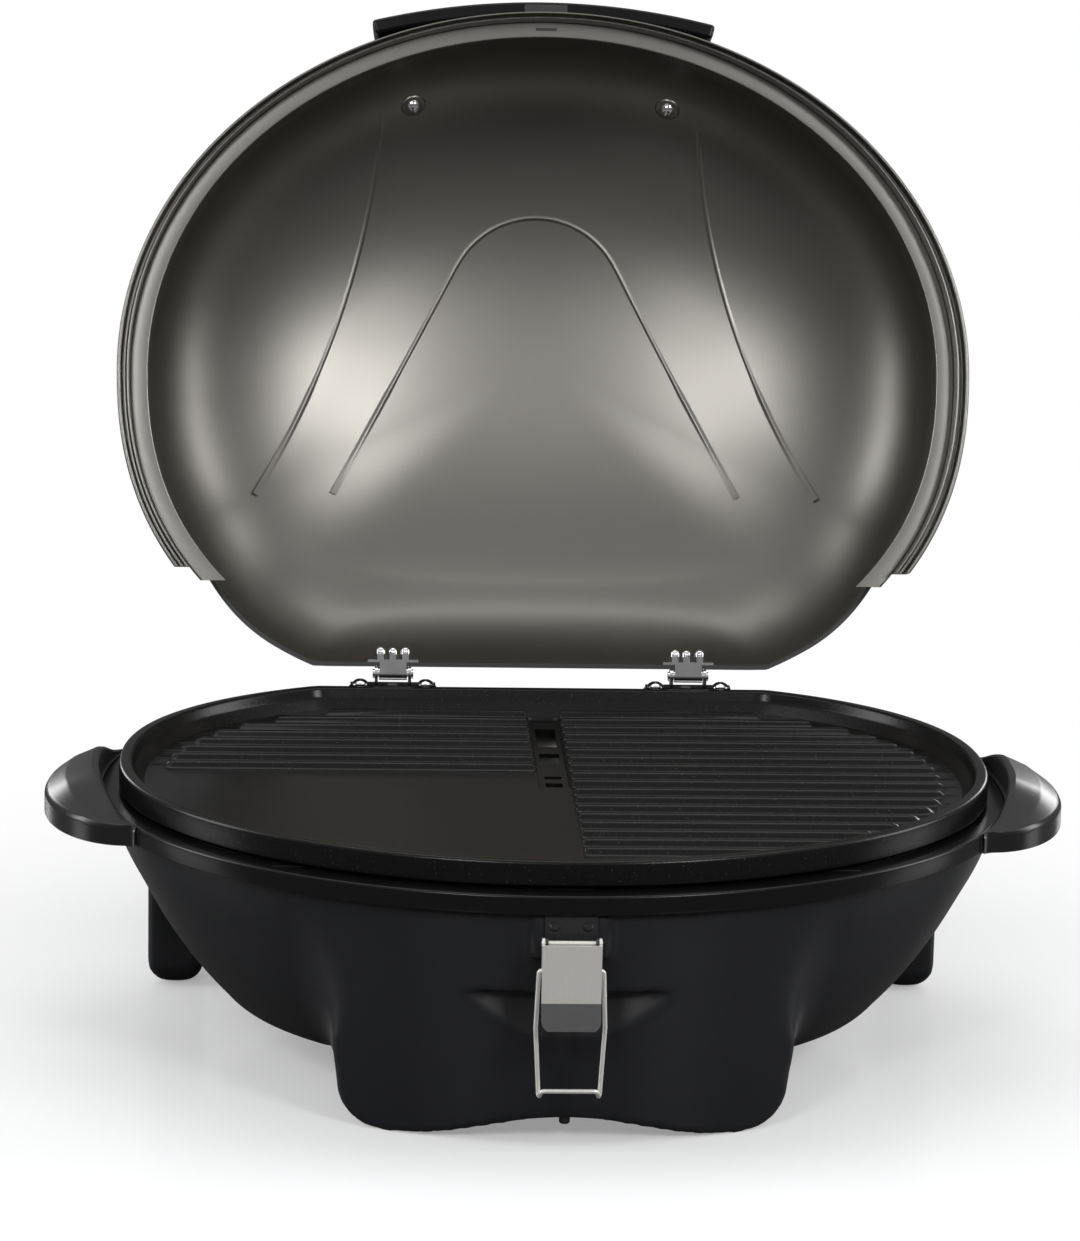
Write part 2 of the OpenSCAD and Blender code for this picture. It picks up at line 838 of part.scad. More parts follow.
module lid_closed() {
    difference() {
        union() {
            loft(dome_rings(lid_t, lid_edge_z - 0.1));
            difference() {
                oval_slab(bead_out, bead_z, lid_edge_z + 0.8);
                oval_slab(bead_in, bead_z - 1, lip_z);
                box(-tall, tall, notch_y, tall, 0, lip_z);
                box(-tall, tall, notch_y + notch_step, tall, 0, lid_edge_z + 5);
                difference() {
                    box(-tall, tall, notch_y, tall, 0, lid_edge_z + 5);
                    oval_slab(bead_in - 1, 0, tall);
                }
            }
        }
        difference() {
            loft(dome_rings(0, bead_z - 2));
            for (x = [-foot_x, foot_x])
                handle_foot_axis(x)
                    translate([0, 0, -seat_drop])
                        cylinder(r = 7.2, h = seat_drop + 1);
            bar(outer_crease(), crease_r, 4);
            mirror([1, 0, 0])
                bar(outer_crease(), crease_r, 4);
            bar(concat(reversed(arch_crease()), arch_crease()), crease_r, 4);
        }
        for (x = [-foot_x, foot_x])
            handle_foot_axis(x)
                translate([0, 0, -15])
                    cylinder(r = 2, h = 40);
        bolt_places()
            translate([0, 0, -10])
                cylinder(r = 2, h = 20);
        translate([0, front_y + 3, lip_z - 5])
            linear_extrude(20)
                union() {
                    square([14, 5], center = true);
                    for (x = [-7, 7])
                        translate([x, 0])
                            circle(r = 2.5, $fn = 24);
                }
    }
}

module lid_shell() {
    color([0.36, 0.35, 0.33])
        opened()
            lid_closed();
}

module grip_section() {
    r0 = grip_r - grip_deep;
    outer = [for (a = [0 : 10 : 90]) [r0 + grip_deep * cos(a), grip_z + grip_high * sin(a)]];
    inner = [for (a = [90 : -10 : 0]) [r0 + (grip_deep - grip_t) * cos(a), grip_z + (grip_high - grip_t) * sin(a)]];
    polygon(concat(outer, inner));
}

module lid_handle() {
    color([0.06, 0.06, 0.065])
        opened()
            difference() {
                union() {
                    translate([0, grip_y + grip_r, 0])
                        rotate([0, 0, 270 - grip_sweep])
                            rotate_extrude(angle = 2 * grip_sweep, $fn = 180)
                                grip_section();
                    for (x = [-foot_x, foot_x])
                        handle_foot_axis(x)
                            translate([0, 0, -6])
                                cylinder(r = foot_r, h = 24);
                }
                loft(dome_rings(lid_t, lid_edge_z));
                for (x = [-foot_x, foot_x])
                    handle_foot_axis(x)
                        translate([0, 0, -10])
                            cylinder(r = 1.9, h = 26);
            }
}

module lid_handle_screws() {
    color([0.85, 0.85, 0.85])
        opened()
            for (x = [-foot_x, foot_x])
                handle_foot_axis(x)
                    translate([0, 0, -seat_drop])
                        rotate([180, 0, 0])
                            pan_screw(5, 3.4, 1.8, 14);
}

// Steel catch on the front of the lid, with an upturned tab that the bail hooks behind
module lid_catch() {
    z0 = lid_edge_z + 0.8;
    z1 = bail_z + bail_reach - hook_z - bail_d / 2 - 0.1;
    y1 = latch_y + hook_y - bail_d / 2 - 0.15;
    color([0.78, 0.78, 0.76])
        opened()
            union() {
                box(-13, 13, y1, front_y + 0.5, z0, z0 + sheet);
                box(-13, 13, y1, y1 + 6, z0, z1);
                box(-13, 13, y1 - sheet, y1, z0, z1 + 5);
                translate([0, front_y + 3, 0])
                    union() {
                        box(-6.5, 6.5, -3, 2, z0, z0 + sheet);
                        box(-6.5, 6.5, -0.9, 0.9, lip_z - 0.4, z0 + sheet);
                    }
            }
}

// Hinges

module hinge_strap() {
    difference() {
        union() {
            box(-strap_half, strap_half, hinge_y - cheek_r, hinge_y + cheek_r, pad_z, pad_z + strap_t);
            for (x = [-cheek_x - strap_t, cheek_x])
                union() {
                    box(x, x + strap_t, hinge_y - cheek_r, hinge_y + cheek_r, pad_z, hinge_z);
                    translate([x + strap_t / 2, hinge_y, hinge_z])
                        x_rod(cheek_r, strap_t);
                }
        }
        translate([0, hinge_y, hinge_z])
            x_rod(pin_r + 0.02, 40);
        for (x = [-strap_screw, strap_screw])
            translate([x, hinge_y - 1, pad_z - 1])
                cylinder(r = 1.6, h = 5);
    }
}

module hinge_strap_left() {
    color([0.75, 0.75, 0.76])
        translate([-hinge_x, 0, 0])
            hinge_strap();
}

module hinge_strap_right() {
    color([0.75, 0.75, 0.76])
        translate([hinge_x, 0, 0])
            hinge_strap();
}

module hinge_strap_screws() {
    color([0.85, 0.85, 0.86])
        for (side = [-1, 1], x = [-strap_screw, strap_screw])
            translate([side * hinge_x + x, hinge_y - 1, pad_z + strap_t])
                pan_screw(5, 3.2, 1.5, 12);
}

module hinge_leaf() {
    opened()
        difference() {
            union() {
                translate([0, hinge_y, hinge_z])
                    x_rod(knuckle_r, 2 * knuckle_half);
                box(-knuckle_half + 0.4, knuckle_half - 0.4, wall_y - leaf_t, hinge_y,
                    hinge_z - knuckle_r, hinge_z - knuckle_r + leaf_t);
                box(-knuckle_half + 0.4, knuckle_half - 0.4, wall_y - leaf_t, wall_y,
                    hinge_z - knuckle_r, lid_edge_z + 2);
                box(-leaf_half, leaf_half, wall_y - leaf_t, wall_y, lid_edge_z, lid_edge_z + leaf_h);
            }
            translate([0, hinge_y, hinge_z])
                x_rod(pin_r + 0.08, 40);
            for (i = [-1, 0, 1])
                translate([i * bolt_x, wall_y + 5, lid_edge_z + bolt_z + (i == 0 ? bolt_step : 0)])
                    rotate([90, 0, 0])
                        cylinder(r = 2, h = 20);
        }
}

module hinge_leaf_left() {
    color([0.78, 0.78, 0.79])
        translate([-hinge_x, 0, 0])
            hinge_leaf();
}

module hinge_leaf_right() {
    color([0.78, 0.78, 0.79])
        translate([hinge_x, 0, 0])
            hinge_leaf();
}

module hinge_pins() {
    color([0.7, 0.7, 0.72])
        for (side = [-1, 1])
            translate([side * hinge_x, hinge_y, hinge_z])
                union() {
                    x_rod(pin_r, 2 * (cheek_x + strap_t) + 2);
                    for (e = [-1, 1])
                        translate([e * (cheek_x + strap_t + 0.7), 0, 0])
                            x_rod(pin_r + 0.8, 1.2);
                }
}

module hinge_bolts() {
    color([0.75, 0.75, 0.76])
        opened()
            bolt_places()
                union() {
                    translate([0, 0, -lid_t - 1.8])
                        cylinder(r = 3.4, h = 1.8);
                    translate([0, 0, -lid_t - 1])
                        cylinder(r = 1.93, h = lid_t + 1 + leaf_t + 1.5);
                }
}

// Cap nuts inside the lid
module hinge_nuts() {
    color([0.88, 0.88, 0.9])
        opened()
            bolt_places()
                translate([0, 0, leaf_t])
                    difference() {
                        union() {
                            cylinder(r = 4.04, h = 3.6, $fn = 6);
                            translate([0, 0, 3.6])
                                cylinder(r = 3.1, h = 1.6);
                            translate([0, 0, 5.2])
                                sphere(r = 3.1);
                        }
                        translate([0, 0, -5])
                            cylinder(r = 1.95, h = 6.5);
                    }
}

// Toggle latch on the front

module latch_bracket() {
    color([0.72, 0.72, 0.7])
        difference() {
            union() {
                box(-ear_x, ear_x, latch_pad_y - sheet, latch_pad_y, latch_z - 8, ring_bot - 1);
                mirror_copy()
                    union() {
                        box(ear_x - sheet, ear_x, latch_y, latch_pad_y, latch_z - 3, latch_z);
                        translate([ear_x - sheet / 2, latch_y, latch_z])
                            x_rod(3, sheet);
                    }
            }
            translate([0, latch_y, latch_z])
                x_rod(latch_pin_r + 0.02, 60);
            for (x = [-9, 9])
                translate([x, latch_pad_y - 3, latch_z + 7])
                    rotate([-90, 0, 0])
                        cylinder(r = 1.6, h = 5);
        }
}

module latch_rivets() {
    color([0.7, 0.7, 0.7])
        for (x = [-9, 9])
            translate([x, latch_pad_y - sheet, latch_z + 7])
                rotate([90, 0, 0])
                    union() {
                        translate([0, 0, -6])
                            cylinder(r = 1.55, h = 6.1);
                        cylinder(r1 = 3, r2 = 1.8, h = 1.4);
                    }
}

module latch_pin() {
    color([0.8, 0.8, 0.8])
        translate([0, latch_y, latch_z])
            x_rod(latch_pin_r, lever_w + 0.6);
}

module latch_lever() {
    half = lever_w / 2;
    crease = latch_z - 0.68 * lever_len;
    tip = 0.32 * lever_len;
    y0 = latch_y - lever_out;
    low = crease - tip * cos(lever_bend) - sheet * sin(lever_bend);
    round = 6;
    color([0.8, 0.79, 0.76])
        difference() {
            union() {
                intersection() {
                    translate([-half, 0, 0])
                        rotate([90, 0, 90])
                            linear_extrude(lever_w)
                                polygon([[y0, latch_z], [y0, crease],
                                         [y0 - tip * sin(lever_bend), crease - tip * cos(lever_bend)],
                                         [y0 - tip * sin(lever_bend) + sheet * cos(lever_bend), low],
                                         [y0 + sheet, crease - sheet * tan(lever_bend / 2)],
                                         [y0 + sheet, latch_z]]);
                    translate([0, -190, 0])
                        rotate([90, 0, 0])
                            linear_extrude(60)
                                union() {
                                    translate([-half - 1, low + round])
                                        square([lever_w + 2, 80]);
                                    translate([-half + round, low - 1])
                                        square([lever_w - 2 * round, 20]);
                                    for (x = [-half + round, half - round])
                                        translate([x, low + round])
                                            circle(r = round);
                                }
                }
                mirror_copy()
                    union() {
                        box(half - sheet, half, y0 + 0.5, latch_y, bail_z - 4, latch_z);
                        for (z = [bail_z, latch_z])
                            translate([half - sheet / 2, latch_y, z])
                                x_rod(3, sheet);
                        box(half - sheet, half, y0 + 0.5, latch_y + 3, bail_z, latch_z);
                    }
            }
            translate([0, latch_y, latch_z])
                x_rod(latch_pin_r + 0.08, 60);
            translate([0, latch_y, bail_z])
                x_rod(bail_d / 2 + 0.08, 60);
        }
}

// Half of the bail, from its hooked end in the lever to the middle of its crossbar
function bail_half() = [
    [lever_w / 2 - sheet - 0.8, latch_y, bail_z],
    [bail_x - 1.5, latch_y, bail_z],
    [bail_x - 0.4, latch_y, bail_z - 0.4],
    [bail_x, latch_y, bail_z - 1.6],
    [bail_x + 1.2, latch_y, bail_z - bail_reach * 0.45],
    [bail_x - 0.9, latch_y, bail_z - bail_reach + 2.2],
    [bail_x - 1.4, latch_y - 0.9, bail_z - bail_reach + 0.7],
    [lever_w / 2 - 0.9, latch_y - hook_y + 1, bail_z - bail_reach + hook_z - 1],
    [lever_w / 2 - 2, latch_y - hook_y, bail_z - bail_reach + hook_z]];

module latch_bail() {
    half = bail_half();
    n = len(half);
    color([0.85, 0.85, 0.84])
        bar(concat(half, [for (i = [n - 1 : -1 : 0]) [-half[i][0], half[i][1], half[i][2]]]),
            bail_d / 2, 12, [0, 1, 0]);
}

base_shell();
rim_ring();
handle_left();
handle_right();
handle_screws();
apron_bumper();
reflector_pan();
reflector_screws();
heating_element();
element_brackets();
element_bushings();
thermal_cutout();
inlet_housing();
inlet_pins();
inlet_screws();
grill_plate();
grease_tray();
lid_shell();
lid_handle();
lid_handle_screws();
lid_catch();
hinge_strap_left();
hinge_strap_right();
hinge_strap_screws();
hinge_leaf_left();
hinge_leaf_right();
hinge_pins();
hinge_bolts();
hinge_nuts();
latch_bracket();
latch_rivets();
latch_pin();
latch_lever();
latch_bail();
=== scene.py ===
# %% [markdown]
# # A tabletop grill with its lid standing open
# The CAD model already holds every piece at its true size and place. This script loads it as
# a fixed frame, gives every piece its finish, and rebuilds the large moulded and pressed
# pieces with finer surfaces than a CAD loft has. All lengths below are written in
# millimetres and turned into metres when a mesh is made.

# %% Load the frame
import bpy
import math
import numpy as np
from mathutils import Matrix, Vector
from mathutils.bvhtree import BVHTree


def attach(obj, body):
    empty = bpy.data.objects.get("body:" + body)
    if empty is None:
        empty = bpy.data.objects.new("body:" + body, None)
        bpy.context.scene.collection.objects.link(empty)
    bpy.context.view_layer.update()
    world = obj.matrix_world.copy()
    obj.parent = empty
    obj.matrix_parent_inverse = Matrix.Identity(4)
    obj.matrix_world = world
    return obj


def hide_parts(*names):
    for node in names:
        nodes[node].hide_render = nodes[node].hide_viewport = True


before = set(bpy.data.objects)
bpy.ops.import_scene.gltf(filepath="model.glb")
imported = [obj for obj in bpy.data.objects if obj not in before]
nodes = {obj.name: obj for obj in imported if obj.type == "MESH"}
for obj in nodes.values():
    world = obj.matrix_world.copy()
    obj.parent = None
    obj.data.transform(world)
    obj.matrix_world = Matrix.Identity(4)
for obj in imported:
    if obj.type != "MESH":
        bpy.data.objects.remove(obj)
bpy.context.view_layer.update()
MM = 0.001

# %% [markdown]
# Nearly every large piece of this grill follows one egg-shaped outline: half an ellipse in
# front, and behind it a fuller curve that is cut off straight where the hinges are. Writing
# that outline once, with an offset, keeps plate, ring, bowl and lid in step.

# %% The shared outline
HALF_WIDTH, WIDE_Y, FRONT, BACK, BULGE = 250.0, 20.0, 214.0, 176.0, 200.0
REAR_ROUND = 2.3
REAR_POWER = 2 / REAR_ROUND
AROUND = 288


def outline_at(t, offset, back=None):
    """Point of the outline at angle t, moved out by offset."""
    c, s = np.cos(t), np.sin(t)
    back = offset if back is None else back
    rear = np.minimum((BULGE + offset) * np.abs(s) ** REAR_POWER, BACK + back)
    x = np.where(s < 0, (HALF_WIDTH + offset) * c,
                 (HALF_WIDTH + offset) * np.sign(c) * np.abs(c) ** REAR_POWER)
    return x, WIDE_Y + np.where(s < 0, (FRONT + offset) * s, rear)


def outline(offset, back=None):
    """The whole outline as rows of x and y."""
    t = np.arange(AROUND) * 2 * math.pi / AROUND
    return np.stack(outline_at(t, offset, back), axis=1)


def side_x(offset, y):
    """Half width of the outline at depth y."""
    y = np.asarray(y, float)
    front = 1 - np.clip((y - WIDE_Y) / (FRONT + offset), -1, 1) ** 2
    rear = 1 - np.clip(np.abs(y - WIDE_Y) / (BULGE + offset), 0, 1) ** REAR_ROUND
    return (HALF_WIDTH + offset) * np.where(y < WIDE_Y, np.sqrt(front), rear ** (1 / REAR_ROUND))


def ease(v, a, b):
    """0 up to a, 1 from b on, and a soft rise between."""
    u = np.clip((v - a) / (b - a), 0, 1)
    return u * u * (3 - 2 * u)


print("plate outline:", outline(0).min(axis=0).round(1), outline(0).max(axis=0).round(1))

# %% [markdown]
# A loft joins rings of points with quads. It suits pieces like a pressed lid or a moulded
# ring, because the designer thinks in sections too. The helper keeps shading smooth, but
# marks real corners sharp by their angle.

# %% Mesh helpers


def piece(name, points, faces, body, finish=None, corner=35):
    """A mesh in millimetres becomes a piece that rides on a body."""
    mesh = bpy.data.meshes.new(name)
    mesh.from_pydata((np.asarray(points, float) * MM).tolist(), [], [list(map(int, f)) for f in faces])
    mesh.validate()
    mesh.shade_smooth()
    mesh.set_sharp_from_angle(angle=math.radians(corner))
    obj = bpy.data.objects.new(name, mesh)
    bpy.context.scene.collection.objects.link(obj)
    if body:
        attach(obj, body)
    if finish:
        mesh.materials.append(finish)
    return obj


def skin(rings, around=True, along=False, start=0):
    """Quads between rings with the same number of points."""
    n, m = len(rings[0]), len(rings)
    faces = []
    for k in range(m if along else m - 1):
        a, b = start + k * n, start + ((k + 1) % m) * n
        for i in range(n if around else n - 1):
            j = (i + 1) % n
            faces.append((a + i, a + j, b + j, b + i))
    return faces


def caps(rings, start=0):
    """Faces that close the first ring and the last."""
    n = len(rings[0])
    last = start + (len(rings) - 1) * n
    return [tuple(range(start, start + n))[::-1], tuple(range(last, last + n))]


def loft(rings):
    """A closed solid through a row of rings."""
    return np.concatenate(rings), skin(rings) + caps(rings)


def join(*parts):
    """Several (points, faces) pairs as one."""
    points, faces, base = [], [], 0
    for p, f in parts:
        points.append(np.asarray(p, float).reshape(-1, 3))
        faces += [tuple(base + i for i in q) for q in f]
        base += len(points[-1])
    return np.concatenate(points), faces


def ring_of(xy, z):
    """Flat points at one height."""
    return np.column_stack([xy, np.full(len(xy), float(z))])


def circle(centre, radius, count, a=(1, 0, 0), b=(0, 1, 0)):
    """A ring of points about a centre, in the plane of the directions a and b."""
    t = np.arange(count) * 2 * math.pi / count
    return np.array(centre, float) + radius * (np.outer(np.cos(t), a) + np.outer(np.sin(t), b))


def across(n, hint):
    """Two unit directions across n, the first of them across the hint too."""
    a = np.cross(n, hint)
    a /= np.linalg.norm(a)
    return a, np.cross(n, a)


def even_path(points, count, relax):
    """Even points along a path whose bends are relaxed, their distances and their headings."""
    points = np.array(points, float)
    along = np.concatenate([[0], np.cumsum(np.linalg.norm(np.diff(points, axis=0), axis=1))])
    u = np.linspace(0, along[-1], count)
    path = np.column_stack([np.interp(u, along, column) for column in points.T])
    for _ in range(relax):
        path[1:-1] = (path[:-2] + 2 * path[1:-1] + path[2:]) / 4
    heading = np.gradient(path, axis=0)
    return path, u, heading / np.linalg.norm(heading, axis=1, keepdims=True)


def fillet(path, radii, closed=True, steps=4):
    """Round the corners of a flat path; radii is one number or one for each corner."""
    path = [np.array(p, float) for p in path]
    n = len(path)
    radii = [radii] * n if np.isscalar(radii) else radii
    out = []
    for i, p in enumerate(path):
        r = radii[i]
        if r == 0 or (not closed and i in (0, n - 1)):
            out.append(p)
            continue
        a, b = path[i - 1] - p, path[(i + 1) % n] - p
        la, lb = np.linalg.norm(a), np.linalg.norm(b)
        a, b = a / la, b / lb
        half = math.acos(max(-1, min(1, float(a @ b)))) / 2
        d = min(r / math.tan(half), la * 0.49, lb * 0.49)
        p0, p1 = p + a * d, p + b * d
        for k in range(steps + 1):
            u = k / steps
            out.append((1 - u) ** 2 * p0 + 2 * u * (1 - u) * p + u ** 2 * p1)
    return np.array(out)


def around_outline(profile, closed=True):
    """Sweep a path of (offset, height) round the outline; faces look to the right of the path."""
    rings = [ring_of(outline(g), z) for g, z in profile]
    return np.concatenate(rings), skin(rings, along=closed)


def block(x0, x1, y0, y1, z0, z1):
    """A plain box, as points and faces."""
    p = [(x, y, z) for z in (z0, z1) for y in (y0, y1) for x in (x0, x1)]
    sides = [(0, 2, 3, 1), (4, 5, 7, 6), (0, 1, 5, 4), (2, 6, 7, 3), (0, 4, 6, 2), (1, 3, 7, 5)]
    return np.array(p, float), sides


def side_block(side, near, far, *rest):
    """A box on one side, between two distances from the middle."""
    return block(min(side * near, side * far), max(side * near, side * far), *rest)


def soften(obj, width, segments=3, angle=30):
    """Rounded edges, as a mould or a press leaves them."""
    m = obj.modifiers.new("rounded_edges", "BEVEL")
    m.width, m.segments, m.limit_method = width * MM, segments, "ANGLE"
    m.angle_limit = math.radians(angle)
    m.harden_normals = True
    return obj


print("mesh helpers ready, rings of", AROUND, "points")

# %% [markdown]
# ## Finishes
# Three effects come back in several materials: fine moulded or sprayed grain, a brushed
# direction, and the sparkle of a cast coat. Each is a node group with named inputs, so that
# a material only sets its own values.

# %% Helpers for node groups
COLOUR, NUMBER, VECTOR = "NodeSocketColor", "NodeSocketFloat", "NodeSocketVector"
SURFACE = [("Color", COLOUR), ("Roughness", NUMBER), ("Normal", VECTOR)]


def group(name, inputs):
    """A new node group with these inputs, and the outputs of a surface."""
    g = bpy.data.node_groups.new(name, "ShaderNodeTree")
    for label, kind, value in inputs:
        s = g.interface.new_socket(label, in_out="INPUT", socket_type=kind)
        s.default_value = value
    for label, kind in SURFACE:
        g.interface.new_socket(label, in_out="OUTPUT", socket_type=kind)
    return g, g.nodes.new("NodeGroupInput"), g.nodes.new("NodeGroupOutput")


def add(tree, kind, **values):
    """A node with its properties and input values set."""
    n = tree.nodes.new(kind)
    for k, v in values.items():
        if hasattr(n, k):
            setattr(n, k, v)
        else:
            n.inputs[k.replace("_", " ")].default_value = v
    return n


def blend_colours(tree, factor, dark, light):
    """A colour mix; its inputs 0, 6 and 7 are the factor and the two colours."""
    m = add(tree, "ShaderNodeMix", data_type="RGBA")
    tree.links.new(factor, m.inputs[0])
    tree.links.new(dark, m.inputs[6])
    tree.links.new(light, m.inputs[7])
    return m.outputs[2]


def blend_values(tree, factor, low, high):
    """A mix of two numbers, which are its inputs 2 and 3."""
    m = add(tree, "ShaderNodeMix", data_type="FLOAT")
    tree.links.new(factor, m.inputs[0])
    tree.links.new(low, m.inputs[2])
    tree.links.new(high, m.inputs[3])
    return m.outputs[0]


def surface(tree, given, result, colours, masks, bump_distance):
    """The end of every group; the masks steer its colour, its gloss and its bump."""
    dark, light = (given.outputs[label] for label in colours)
    tree.links.new(blend_colours(tree, masks[0], dark, light), result.inputs["Color"])
    gloss = blend_values(tree, masks[1], given.outputs["Gloss Low"], given.outputs["Gloss High"])
    tree.links.new(gloss, result.inputs["Roughness"])
    bump = add(tree, "ShaderNodeBump", Distance=bump_distance)
    tree.links.new(given.outputs["Depth"], bump.inputs["Strength"])
    tree.links.new(masks[2], bump.inputs["Height"])
    tree.links.new(bump.outputs["Normal"], result.inputs["Normal"])


print("each group gives:", [label for label, _ in SURFACE])

# %% Fine grain: cloudy colour, uneven gloss and a pebbled surface
grain, given, result = group("fine_grain", [
    ("Dark", COLOUR, (0, 0, 0, 1)), ("Light", COLOUR, (1, 1, 1, 1)), ("Cloud Scale", NUMBER, 8.0),
    ("Grain Scale", NUMBER, 1500.0), ("Gloss Low", NUMBER, 0.4), ("Gloss High", NUMBER, 0.5),
    ("Depth", NUMBER, 0.2)])
place = grain.nodes.new("ShaderNodeTexCoord")
cloud = add(grain, "ShaderNodeTexNoise", Detail=4.0, Roughness=0.6)
pebble = add(grain, "ShaderNodeTexNoise", Detail=2.0, Roughness=0.5)
for noise, scale in ((cloud, "Cloud Scale"), (pebble, "Grain Scale")):
    grain.links.new(place.outputs["Object"], noise.inputs["Vector"])
    grain.links.new(given.outputs[scale], noise.inputs["Scale"])
surface(grain, given, result, ("Dark", "Light"),
        (cloud.outputs["Fac"], cloud.outputs["Fac"], pebble.outputs["Fac"]), 0.0001)
print("group", grain.name, "with", len(grain.nodes), "nodes")

# %% Brushed: fine lines across one axis
brush, given, result = group("brushed_lines", [
    ("Dark", COLOUR, (0, 0, 0, 1)), ("Light", COLOUR, (1, 1, 1, 1)),
    ("Stretch", VECTOR, (30.0, 3000.0, 3000.0)), ("Gloss Low", NUMBER, 0.2), ("Gloss High", NUMBER, 0.4),
    ("Depth", NUMBER, 0.1)])
place = brush.nodes.new("ShaderNodeTexCoord")
pull = add(brush, "ShaderNodeVectorMath", operation="MULTIPLY")
lines = add(brush, "ShaderNodeTexNoise", Scale=1.0, Detail=3.0, Roughness=0.6)
brush.links.new(place.outputs["Object"], pull.inputs[0])
brush.links.new(given.outputs["Stretch"], pull.inputs[1])
brush.links.new(pull.outputs[0], lines.inputs["Vector"])
surface(brush, given, result, ("Dark", "Light"), [lines.outputs["Fac"]] * 3, 0.00005)
print("group", brush.name, "with", len(brush.nodes), "nodes")

# %% Sparkle: the small bright grains of a sprayed coat on a casting
spark, given, result = group("cast_sparkle", [
    ("Base", COLOUR, (0.03, 0.03, 0.03, 1)), ("Fleck", COLOUR, (0.2, 0.2, 0.2, 1)),
    ("Fleck Scale", NUMBER, 900.0), ("Fleck Share", NUMBER, 0.72), ("Gloss Low", NUMBER, 0.35),
    ("Gloss High", NUMBER, 0.6), ("Depth", NUMBER, 0.3)])
place = spark.nodes.new("ShaderNodeTexCoord")
fleck = add(spark, "ShaderNodeTexNoise", Detail=1.0, Roughness=0.4)
cast = add(spark, "ShaderNodeTexNoise", Scale=420.0, Detail=5.0, Roughness=0.65)
over = add(spark, "ShaderNodeMath", operation="SUBTRACT")
sharp = add(spark, "ShaderNodeMath", operation="MULTIPLY", use_clamp=True)
sharp.inputs[1].default_value = 9.0
for noise in (fleck, cast):
    spark.links.new(place.outputs["Object"], noise.inputs["Vector"])
spark.links.new(given.outputs["Fleck Scale"], fleck.inputs["Scale"])
spark.links.new(fleck.outputs["Fac"], over.inputs[0])
spark.links.new(given.outputs["Fleck Share"], over.inputs[1])
spark.links.new(over.outputs[0], sharp.inputs[0])
surface(spark, given, result, ("Base", "Fleck"),
        (sharp.outputs[0], cast.outputs["Fac"], cast.outputs["Fac"]), 0.00018)
print("group", spark.name, "with", len(spark.nodes), "nodes")

# %% [markdown]
# Each finish is one material. Numbers that are the same all over the surface, such as
# metallic or coat weight, are set straight on the shader. Only what varies comes out of a group.

# %% Finishes of the moulded and cast pieces


def finish(name, effect, values, **shader):
    """A material whose colour, gloss and surface come from one of the groups."""
    m = bpy.data.materials.new(name)
    m.use_nodes = True
    tree = m.node_tree
    bsdf = tree.nodes["Principled BSDF"]
    g = tree.nodes.new("ShaderNodeGroup")
    g.node_tree = effect
    for k, v in values.items():
        g.inputs[k].default_value = (*v, 1.0) if g.inputs[k].type == "RGBA" else v
    for given, taken in (("Color", "Base Color"), ("Roughness", "Roughness"), ("Normal", "Normal")):
        tree.links.new(g.outputs[given], bsdf.inputs[taken])
    for k, v in shader.items():
        bsdf.inputs[k.replace("_", " ")].default_value = v
    m.diffuse_color = (*values.get("Light", values.get("Base")), 1)
    return m


bowl_black = finish("bowl_satin_plastic", grain, {
    "Dark": (0.0085, 0.009, 0.0105), "Light": (0.0125, 0.013, 0.015), "Cloud Scale": 6.0,
    "Grain Scale": 1400.0, "Gloss Low": 0.44, "Gloss High": 0.52, "Depth": 0.25}, Specular_IOR_Level=0.3)
ring_gloss = finish("ring_gloss_plastic", grain, {
    "Dark": (0.0035, 0.0035, 0.004), "Light": (0.0055, 0.0055, 0.006), "Cloud Scale": 10.0,
    "Grain Scale": 900.0, "Gloss Low": 0.2, "Gloss High": 0.28, "Depth": 0.03}, Specular_IOR_Level=0.22)
handle_satin = finish("handle_satin_plastic", grain, {
    "Dark": (0.006, 0.006, 0.0068), "Light": (0.009, 0.009, 0.01), "Cloud Scale": 10.0, "Grain Scale": 900.0,
    "Gloss Low": 0.24, "Gloss High": 0.3, "Depth": 0.05}, Specular_IOR_Level=0.45)
plate_coat = finish("plate_cast_coat", spark, {
    "Base": (0.0045, 0.0042, 0.004), "Fleck": (0.04, 0.04, 0.04), "Fleck Scale": 950.0, "Fleck Share": 0.69,
    "Gloss Low": 0.2, "Gloss High": 0.3, "Depth": 0.3}, Specular_IOR_Level=0.2)
print("finishes so far:", len(bpy.data.materials))

# %% Finishes of the lid
lid_metal = finish("lid_satin_metal", grain, {
    "Dark": (0.185, 0.178, 0.164), "Light": (0.225, 0.217, 0.2), "Cloud Scale": 5.0, "Grain Scale": 1800.0,
    "Gloss Low": 0.34, "Gloss High": 0.37, "Depth": 0.12}, Metallic=0.95)
# A darker copy of the lid's satin metal for the lip and hem, which are the same sheet as the dome: painted
# shade along the lid's edge.
lid_rim_shaded = finish("lid_rim_painted_shade_metal", grain, {
    "Dark": (0.15, 0.146, 0.138), "Light": (0.19, 0.185, 0.175), "Cloud Scale": 8.0, "Grain Scale": 1800.0,
    "Gloss Low": 0.3, "Gloss High": 0.36, "Depth": 0.12}, Metallic=0.95)
lid_coat = finish("lid_outer_coat", grain, {
    "Dark": (0.012, 0.012, 0.0125), "Light": (0.018, 0.018, 0.019), "Cloud Scale": 5.0, "Grain Scale": 1500.0,
    "Gloss Low": 0.3, "Gloss High": 0.38, "Depth": 0.15}, Coat_Weight=0.1)
print("finishes so far:", len(bpy.data.materials))

